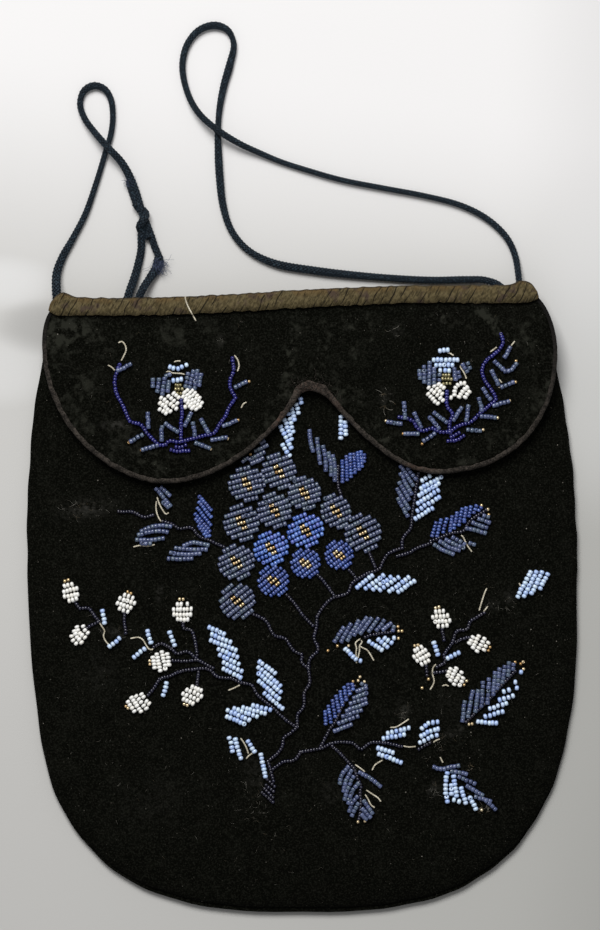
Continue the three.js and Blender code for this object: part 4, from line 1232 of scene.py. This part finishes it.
edge_count = 3 * FLAP_GRID["columns"]
edge, out = flap_edge(edge_count)
inner_edge = edge - (FLAP_EDGE_WALL + CLEAR) * out
edge_z = flap_underside(*inner_edge.T) + cloth_at(mouth_y(inner_edge[:, 0]) - inner_edge[:, 1]) / 2
edge_length = np.linalg.norm(np.diff(edge, axis=0), axis=1).sum()
along = np.linspace(0, edge_length, edge_count + 1)
draw = np.random.default_rng(11)
knots = np.arange(0, edge_length + EDGE_RAGGED["gap"], EDGE_RAGGED["gap"])
ragged_half, ragged_width, wander = (np.interp(along, knots, draw.normal(0, 1, len(knots))) for _ in range(3))
uneven = EDGE_UNEVEN["share"] * np.sin(along / EDGE_UNEVEN["length"])
pucker = np.sin(2 * np.pi * along / EDGE_RIBBON["pucker_length"] + uneven)
thicker = 1 + EDGE_NOTCH["thicker"] * hump(
    np.linalg.norm(edge - from_photo(*EDGE_NOTCH["pixel"], FLAP_HANG), axis=1), EDGE_NOTCH["spread"]
)
free = smoothstep(along, 0, EDGE_TUCK["left"]) * smoothstep(edge_length - along, 0, EDGE_TUCK["right"])
half = EDGE_RIBBON["half"] * (1 + EDGE_RAGGED["half"] * ragged_half) + EDGE_RIBBON["pucker"] * pucker
half = lerp(EDGE_RIBBON["half"] / 2, half, free)
width = lerp(EDGE_TUCK["width"], thicker * (1 + EDGE_RAGGED["width"] * ragged_width), free)
section = folded_section(EDGE_RIBBON["width"], 1, EDGE_RIBBON["fold"], EDGE_RIBBON["wall"], FOLD_BENDS)
sections = section[None] * np.stack([width, half], axis=1)[:, None]
wandered = edge + out * (EDGE_RAGGED["wander"] * wander * free)[:, None]
middles = np.concatenate([wandered, edge_z[:, None]], axis=1)
ways_out = np.concatenate([out, np.zeros((edge_count + 1, 1))], axis=1)
downs = np.tile((0, 0, -1.0), (edge_count + 1, 1))
edge_points, edge_quads = strip(middles, ways_out, downs, sections)
tucked = np.repeat(np.pad(1 - free, 1, mode="edge"), len(section))
edge_marks = {"rubbed": marked_at(edge_points, EDGE_RUBBED, FLAP_HANG), "tucked": tucked}
flap_binding = new_piece("flap_edge_ribbon", edge_points, edge_quads, edge_silk, "edge_silk", edge_marks)
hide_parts("flap_binding")

# The flap's two sprays are beaded as the front is: a looped navy stem, slate barbs tipped with amber, and a
# flower of slate, white and pale blue petals round an olive eye.
FLAP_HEIGHT = 12
FLAP_BLUE = {
    "deep": (0.006, 0.007, 0.085), "light": (0.025, 0.027, 0.240), "odd": (0.020, 0.016, 0.150),
    "diameter": 1.38, "pitch": 0.97, "end": 0.6,
}
OLIVE = {
    "deep": (0.13, 0.105, 0.03), "light": (0.52, 0.45, 0.23), "odd": (0.44, 0.40, 0.22),
    "diameter": 1.25, "pitch": 1.0, "metal": 0.5,
}
FLAP_STEMS = [
    (119.5, 365, 115.5, 377, 115.5, 390, 120, 400, 126, 412,
     130, 421, 141, 425, 148, 434, 160, 445, 166, 444.5),
    (166, 444.5, 170, 441, 179, 442, 191, 439,
     203, 436, 214, 433, 219, 425, 225, 417, 229.5, 407, 235.5, 398),
    (235.5, 398, 230.5, 388, 230, 381, 233.5, 371, 232.5, 358),
    (181, 400, 182, 412, 181, 424, 181, 441),
    (171, 450, 177, 451.5, 184, 451, 189, 450.5), (176, 447, 180, 447, 185.5, 445.5),
    (501, 334, 503, 342, 498, 351, 486, 361, 482, 370, 484, 379, 492, 391, 496, 399, 490, 405, 480, 413),
    (480, 413, 471, 422, 458, 426, 450, 431.5, 440, 432, 432, 428, 424, 431, 417, 428, 413, 421, 399, 417),
    (447, 391, 447, 406, 452.5, 415, 449.5, 422, 450, 433),
    (448, 441, 452, 441, 457, 440, 463.5, 436), (451, 437, 455, 435, 459, 433),
]
BARBS = [
    (118, 371, 130, 364.5), (148, 413.5, 148.5, 427), (131, 441.5, 142, 435), (143, 449.5, 157, 445.5),
    (162, 427, 161.5, 440), (166, 424, 177, 432), (191, 413.5, 185, 425.5), (193, 423.5, 195, 435),
    (201.5, 420, 208, 432), (224, 426, 236, 421), (212, 440, 226, 437.5), (196, 443, 209, 448),
    (236, 387, 246, 382),
    (404, 403.5, 405, 418), (414.5, 414, 421, 427), (388, 422, 401, 424), (405, 434, 418, 434),
    (424, 441, 434.5, 434),
    (430, 418, 438.5, 428), (434.5, 413, 446, 422), (461, 408, 454, 420), (468.5, 406, 466.5, 420),
    (479, 399, 481.5, 410), (483, 389, 490, 399), (492, 371.5, 498, 384), (495, 361.5, 502.5, 369),
    (505, 371, 511, 370, 516, 364), (510, 348, 505, 357), (502, 387, 513, 382.5),
    (494, 405.5, 508, 401.5),
    (482, 416.5, 495, 417.5), (468, 429.5, 480, 431),
]
SLATE_PETALS = [
    (153.2, 379.5, 153, 386), (158.9, 379.6, 157.5, 391), (164.6, 378.9, 162.5, 394),
    (168.9, 381.5, 167.9, 391),
    (166, 376, 169.5, 374.5), (185.7, 386, 188, 374), (189.6, 387.5, 193.2, 371.5),
    (194.6, 388, 197.3, 371),
    (199.3, 385, 200.9, 374.5),
    (420, 371, 420.1, 378), (424.3, 367, 424.6, 382), (429.6, 362.9, 429.3, 384), (434.3, 369, 434, 383),
    (439.6, 374.7, 439.3, 380), (454.6, 369.4, 455.2, 379), (458.4, 372.6, 459.3, 376.5),
    (462.9, 364.7, 467, 371.5),
    (467.9, 363.3, 469.6, 368),
]
PALE_PETALS = [
    (169.6, 367.1, 174.6, 368.4, 178.6, 368.4, 186.1, 365.2), (173.6, 380.4, 181.3, 379.2),
    (440.2, 350.8, 448, 350.1), (433.9, 360.1, 457.6, 359.7), (436.1, 365.1, 452.5, 365.1),
    (440.7, 370.4, 449.3, 370.4),
]
WHITE_PETALS = [
    (160, 409.3, 166.1, 413.6), (160, 402.9, 170, 411.4), (161.4, 397.9, 176.4, 408.6),
    (168.2, 396.1, 177, 403.4),
    (173.2, 392.9, 178.6, 397.5),
    (192.3, 390.7, 199.6, 397.9), (187.1, 390.4, 201.8, 403.2), (184.3, 392.9, 200, 406.8),
    (183.2, 396.4, 196.4, 409.3),
    (185.7, 400.8, 191.8, 408.6), (185.4, 406.8),
    (438.6, 384, 443.6, 388.3), (434.3, 386.1, 442.1, 394), (428.6, 387.6, 443.2, 400.4),
    (427.9, 394, 438, 404),
    (454.5, 394.6, 455.2, 388, 460.7, 383.4, 464.5, 383.4), (467.5, 387.2, 462.9, 391.1, 458.9, 397.2),
    (469.2, 391.5, 465, 397.2), (451.4, 397.9),
]
OLIVE_EYES = [
    (175.8, 385.1, 180.5, 385.1), (175.4, 388.9, 182.1, 388.9), (177.5, 393.2, 180.8, 393.6),
    (443.3, 375.1, 449, 375.1), (442.6, 379, 451.4, 379), (443.5, 383.6, 450, 383.4),
]
BARB_TIPS = [
    (129, 442.5), (141.5, 450), (238, 420), (228, 438.5), (210.5, 449), (249, 381.5), (386, 421),
    (403, 434), (422, 444), (516, 361), (515.5, 382), (509.5, 400.5), (497.5, 418), (483, 430),
]

flap_cloth = surface_of(flap)
flap_blue = seed_glass("violet_navy_glass", **FLAP_BLUE)
olive = seed_glass("olive_glass", **OLIVE)
on_flap = [
    sew("flap_stem_beads", flap_cloth, flap_blue, FLAP_STEMS, FLAP_HEIGHT),
    sew("flap_slate_beads", flap_cloth, slate, BARBS + SLATE_PETALS, FLAP_HEIGHT),
    sew("flap_pale_blue_beads", flap_cloth, pale_blue, PALE_PETALS, FLAP_HEIGHT),
    sew("flap_white_beads", flap_cloth, white, WHITE_PETALS, FLAP_HEIGHT),
    sew("flap_olive_beads", flap_cloth, olive, OLIVE_EYES, FLAP_HEIGHT),
    sew("flap_amber_beads", flap_cloth, amber, BARB_TIPS, FLAP_HEIGHT),
]

# Where beads have been lost, the cream linen thread that held them lies loose on the velvet in short bends.
# It is two plies twisted together.
THREAD = {"ply": 0.15, "twist": 1.3, "step": 0.2, "lift": 2.2, "apart": 0.8, "sides": 6}
THREAD_CREAM = (0.80, 0.74, 0.58)
THREAD_GREY = (0.45, 0.40, 0.29)
FRONT_THREADS = [
    (98.5, 621, 101.5, 626, 104.5, 631, 103.5, 636, 105.5, 641, 110, 646),
    (130, 638.5, 139, 637.5, 143, 640, 146, 645, 149, 649, 152, 649.5, 154, 647),
    (157, 497, 159, 503, 162, 509, 166, 514, 169, 512.5),
    (156.5, 501, 156, 508, 157.5, 515, 160, 520, 162, 522),
    (133, 547, 140, 545.5, 148, 546, 155, 544.5), (228, 690.5, 234, 688, 240, 685),
    (240.5, 738, 244, 743, 246.5, 748, 248.5, 754), (246, 759, 249, 755.5, 253, 753),
    (360.5, 638.5, 355.5, 643, 356.5, 648, 356, 653, 356.5, 663.5),
    (361, 640, 362, 642, 359.5, 646, 359.5, 651, 357, 661),
    (359.5, 646, 363, 648, 367, 650, 370, 654, 374, 661),
    (403, 746, 409, 747, 416, 746.5), (390, 727.5, 396, 727, 403, 723, 409, 719),
    (372, 770.5, 375, 765, 383, 760),
    (355, 764.5, 360, 768, 365, 772), (366, 790, 372, 794, 378, 798, 381, 802),
    (365, 794.5, 368, 799, 371, 805, 375, 808),
    (461, 535, 463, 537, 467, 545, 472, 552), (487, 588, 485, 592, 482, 601, 479, 611),
    (488, 606, 485, 610, 483, 612.5),
    (436, 664, 433, 668, 432.5, 673, 434, 682, 430, 690), (442, 686, 446, 685, 449, 686.5),
    (433, 742.5, 437, 740, 440, 739),
    (440, 757, 443, 763), (519, 583, 521, 586.5),
]
FLAP_THREADS = [
    (118, 343, 121.7, 341.5, 125, 345, 126, 350, 123.3, 356.7, 121, 361),
    (107.7, 365, 111.7, 367.3, 115, 370.7),
    (234.3, 355, 237.7, 360, 239, 366, 237.3, 371.7), (241, 408.3, 243.3, 404, 246.7, 402),
    (166, 372.1, 168.9, 371.4, 172.1, 372.9, 181.4, 373.6, 185, 374.6),
    (173.9, 362.1, 176.8, 361.1, 180.7, 361.1),
    (490, 352, 493, 350, 497, 347), (498, 387.5, 502, 387), (499, 379, 502, 383), (511, 346, 515, 341),
    (462.1, 363.3, 460.4, 366.9, 462.9, 370.8, 465, 374.7, 466.4, 379),
    (447.1, 352.6, 450, 353.3, 453.9, 355.8),
]

linen, shader, start = new_finish("cream_linen", Roughness=0.8, Sheen_Weight=0.2)
start.noise(1.2, 2).between(0.3, 0.7).colour(THREAD_CREAM, THREAD_GREY).feed(shader, "Base Color")
start.noise(0.08).raise_nap(shader, 0.03)


def loose_threads(name, cloth, bends, height):
    plies = []
    for strand in bends:
        charted = [from_photo(px, py, height) for px, py in zip(strand[::2], strand[1::2])]
        level = smooth_line(charted, THREAD["step"])
        rest = np.array([resting_place(cloth, x, y)[0] for x, y in level])
        rest[:, 2] += THREAD["lift"] * THREAD["ply"]
        ahead = unit(np.gradient(rest, axis=0))
        beside = unit(np.cross((0, 0, 1), ahead))
        phase = (np.arange(len(rest)) * THREAD["step"] * 2 * np.pi / THREAD["twist"])[:, None]
        for ply in (0, np.pi):
            wound = beside * np.cos(phase + ply) + np.cross(ahead, beside) * np.sin(phase + ply)
            ply_line = rest + THREAD["apart"] * THREAD["ply"] * wound
            plies.append(tube(ply_line, THREAD["ply"], THREAD["ply"], THREAD["sides"]))
    return new_piece(name, *joined(plies), linen, "bead_thread")


on_front.append(loose_threads("front_loose_threads", front_cloth, FRONT_THREADS, CHART_HEIGHT))
on_flap.append(loose_threads("flap_loose_threads", flap_cloth, FLAP_THREADS, FLAP_HEIGHT))

# Fluff and hairs of pale lint lie caught in the pile, thick where the velvet is worn or has lost its beads.
# They are fine cotton fibres, a few millimetres long.
LINT_FIBRE = {"radius": 0.024, "step": 0.5, "sides": 3, "shortest": 0.3, "bend": 0.9, "lift": (0.02, 0.2)}
LINT_PALE = (0.30, 0.285, 0.245)
LINT_BROWN = (0.12, 0.095, 0.06)
Fluff = namedtuple("Fluff", "px py wide tall fibres longest radius", defaults=[LINT_FIBRE["radius"]])
FRONT_LINT = [
    Fluff(88, 508, 8, 3, 34, 3.5),
    Fluff(404, 712, 1.6, 2.2, 26, 2.5),
    Fluff(434, 790, 1.4, 2.4, 24, 2.5),
    Fluff(484, 810, 1.3, 1.6, 30, 2.2, 0.06),
    Fluff(470, 768, 1.5, 0.7, 18, 2, 0.06),
    Fluff(258, 800, 6, 9, 60, 3),
    Fluff(445, 742, 6, 3, 30, 3),
    Fluff(115, 631, 5, 3, 24, 2.5),
    Fluff(500, 605, 5, 3, 24, 2.5),
    Fluff(300, 700, 80, 61, 420, 2.2),
]
FLAP_LINT = [
    Fluff(387, 399, 1.5, 3.5, 12, 4, 0.06),
    Fluff(397, 330, 2, 2.2, 8, 3, 0.045),
    Fluff(221, 341, 0.8, 1.4, 10, 1.5),
    Fluff(180, 372, 34, 22, 70, 2),
    Fluff(460, 372, 26, 20, 70, 2),
]
EDGE_FRAY = [  # where the flap's ribbon has frayed at the notch
    Fluff(307, 383, 4, 2.2, 60, 4, 0.07),
    Fluff(318, 386, 3.5, 2, 36, 4, 0.07),
    Fluff(332, 398, 3, 2.4, 20, 3.5, 0.07),
]

lint_cotton, shader, start = new_finish("pale_lint", Roughness=0.9, Specular_IOR_Level=0.1)
start.noise(3, 2).between(0.42, 0.62).colour(LINT_PALE, LINT_BROWN).feed(shader, "Base Color")
start.noise(0.1).raise_nap(shader, 0.01)


def lint(name, cloth, places, height, finish, slot):
    draw = np.random.default_rng(23)
    hairs = []
    for spot in places:
        middle = np.array(from_photo(spot.px, spot.py, height))
        for _ in range(spot.fibres):
            turn, reach = draw.uniform(0, 2 * np.pi), math.sqrt(draw.uniform())
            place = middle + reach * np.array((math.cos(turn), math.sin(turn))) * (spot.wide, spot.tall)
            heading = draw.uniform(0, 2 * np.pi)
            length = spot.longest * draw.uniform(LINT_FIBRE["shortest"], 1) ** 2
            bends = [place]
            for _ in range(2):
                heading += draw.uniform(-LINT_FIBRE["bend"], LINT_FIBRE["bend"])
                bends.append(bends[-1] + length / 2 * np.array((math.cos(heading), math.sin(heading))))
            level = smooth_line(bends, LINT_FIBRE["step"])
            hair = np.array([resting_place(cloth, x, y)[0] for x, y in level])
            hair[:, 2] += draw.uniform(*LINT_FIBRE["lift"])
            if len(hair) > 2:
                hairs.append(tube(hair, spot.radius, spot.radius, LINT_FIBRE["sides"]))
    return new_piece(name, *joined(hairs), finish, slot)


on_front.append(lint("front_lint", front_cloth, FRONT_LINT, CHART_HEIGHT, lint_cotton, "bead_thread"))
on_flap.append(lint("flap_lint", flap_cloth, FLAP_LINT, FLAP_HEIGHT, lint_cotton, "bead_thread"))
edge_cloth = surface_of(flap, flap_binding)
on_flap.append(lint("flap_edge_fray", edge_cloth, EDGE_FRAY, FLAP_HEIGHT, edge_silk, "edge_silk"))

# The mouth is bound with faded brown silk ribbon, folded over each edge and sewn through from end to end.
# The front one holds the flap and the front together; cut on the bias, it has pulled into slanting creases.
MOUTH_THREADS = [(186, 293, 185.3, 298, 187.8, 306, 191.5, 313, 196, 321)]
RIBBON_FOLD = 1.2
RIBBON_RAGGED = {"gap": 1.3, "top": 0.13, "hem": 0.14}
RIBBON_STEP = 0.4
RIBBON_END = 1.4
CORNER_TUCKS = [{"x": -77.3, "rise": 1.6, "spread": 3.5}, {"x": 71.5, "rise": 1.4, "spread": 3.5}]
CREASE = {"gap": 2.6, "turn": 62, "depth": 0.2}
RIBBON_BROWN = (0.030, 0.0220, 0.0072)
RIBBON_PALE = (0.178, 0.139, 0.067)
RIBBON_WARM = (0.120, 0.074, 0.026)
RIBBON_PLUM = (0.062, 0.040, 0.034)
RIBBON_CREASE_SHADE_AND_GRAIN = (0.006, 0.0045, 0.0028)
RIBBON_EDGE = (0.020, 0.013, 0.0065)
WEAVE = 0.62  # between threads

mouth_silk, shader, start = new_finish("mouth_ribbon_silk", Roughness=0.75, Specular_IOR_Level=0.15)
lean = 1 / math.tan(math.radians(CREASE["turn"]))
across, along = start.place("X"), start.place("Y")
slanted = (across - lean * along) * (1 / CREASE["gap"]) + 1.3 * start.noise(7, 1)
line = 1 - start.maths("PINGPONG", slanted, 0.5).between(0.03, 0.12)
strong = start.noise(3.0, 2, turn=CREASE["turn"], stretch=2.0).between(0.42, 0.55)
wisps = start.noise(0.4, 2, turn=CREASE["turn"], stretch=6).between(0.54, 0.68)
warp = start.maths("SINE", (across - lean * along + 0.5 * start.noise(2, 1)) * (2 * math.pi / WEAVE), 0)
weft = start.maths("SINE", (lean * across + along + 0.5 * start.noise(2, 1)) * (2 * math.pi / WEAVE), 0)
weave = (warp * weft + 0.9 * (start.noise(0.5, 2) - 0.5)).between(-0.5, 0.6)
fold = start.node("Attribute", {"attribute_name": "fold"}, {}, output="Fac")
dapple = start.noise(0.8, 3, turn=CREASE["turn"], stretch=1.7).between(0.38, 0.62)
silk = (0.42 * weave + 0.43 * dapple + 0.15 * start.noise(3.2, 3)).colour(RIBBON_PALE, RIBBON_BROWN)
silk = (0.75 * fold.between(0.5, 0.95) * start.noise(4.5, 2).between(0.36, 0.6)).colour(silk, RIBBON_WARM)
silk = (0.75 * start.noise(5, 3).between(0.55, 0.68)).colour(silk, RIBBON_PLUM)
silk = (0.8 * fold.between(0.86, 1)).colour(silk, RIBBON_EDGE)
# painted shade in the slanting creases, with fine dark dashes of the twill's grain
creased = start.maths("MAXIMUM", 0.9 * line * strong, 0.5 * wisps)
creased.colour(silk, RIBBON_CREASE_SHADE_AND_GRAIN).feed(shader, "Base Color")
(0.4 * (1 - weave) - creased).raise_nap(shader, CREASE["depth"])


def mouth_ribbon(name, lower, slot, middle_z, tucks):
    """A ribbon folded over one edge of the mouth, rounded off at its ends and pushed up at its tucks."""
    left, right = RIBBON_ENDS[-1], RIBBON_ENDS[1]
    count = round((right["x"] - left["x"]) / RIBBON_STEP)
    x = np.linspace(left["x"], right["x"], count + 1)
    section = folded_section(RIBBON_WIDTH, slot / 2 + RIBBON_WALL, RIBBON_FOLD, RIBBON_WALL, FOLD_BENDS)
    top = sum((tuck["rise"] * hump(x - tuck["x"], tuck["spread"]) for tuck in tucks), 0 * x)
    hem = np.full(count + 1, -float(RIBBON_WIDTH))
    draw = np.random.default_rng(5)
    knots = np.arange(left["x"], right["x"] + RIBBON_RAGGED["gap"], RIBBON_RAGGED["gap"])
    top = top - ribbon_drop(x) + RIBBON_RAGGED["top"] * np.interp(x, knots, draw.normal(0, 1, len(knots)))
    hem = hem + RIBBON_RAGGED["hem"] * np.interp(x, knots, draw.normal(0, 1, len(knots)))
    for end in (left, right):
        hem = hem + end["rise"] * np.clip(1 - np.abs(end["x"] - x) / end["round"], 0, 1) ** 2
    height = (section[:, 0] + RIBBON_WIDTH) / RIBBON_WIDTH
    sections = np.repeat(section[None], count + 1, axis=0)
    sections[..., 0] = lerp(hem[:, None], top[:, None], height)
    middles = np.stack([x, mouth_y(x) - lower, middle_z(x)], axis=1)
    outs = np.tile((0, 1.0, 0), (count + 1, 1))
    ups = np.tile((0, 0, 1.0), (count + 1, 1))
    points, quads = strip(middles, outs, ups, sections)
    near_end = np.clip((RIBBON_END - np.minimum(x - left["x"], right["x"] - x)) / RIBBON_END, 0, 1)
    fold = np.maximum(height[None], np.sqrt(np.pad(near_end, 1, mode="edge"))[:, None])
    marks = {"fold": fold.reshape(-1)}
    return new_piece(name, points, quads, mouth_silk, "mouth_silk", marks)


layers = 2 * PRESSED_CLOTH + CLEAR
mouth_front = mouth_ribbon(
    "mouth_ribbon_front", 0, layers + 2 * CLEAR, lambda x: mouth_underside(x) + layers / 2, CORNER_TUCKS
)
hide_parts("mouth_binding_front")
back_slot = PRESSED_CLOTH + 2 * CLEAR
mouth_back = mouth_ribbon(
    "mouth_ribbon_back", BACK_MOUTH_LOWER, back_slot, lambda x: RIBBON_WALL + back_slot / 2 + 0 * x, []
)
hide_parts("mouth_binding_back")

ribbon_cloth = surface_of(mouth_front, flap)
on_flap.append(loose_threads("mouth_loose_thread", ribbon_cloth, MOUTH_THREADS, FLAP_HEIGHT))
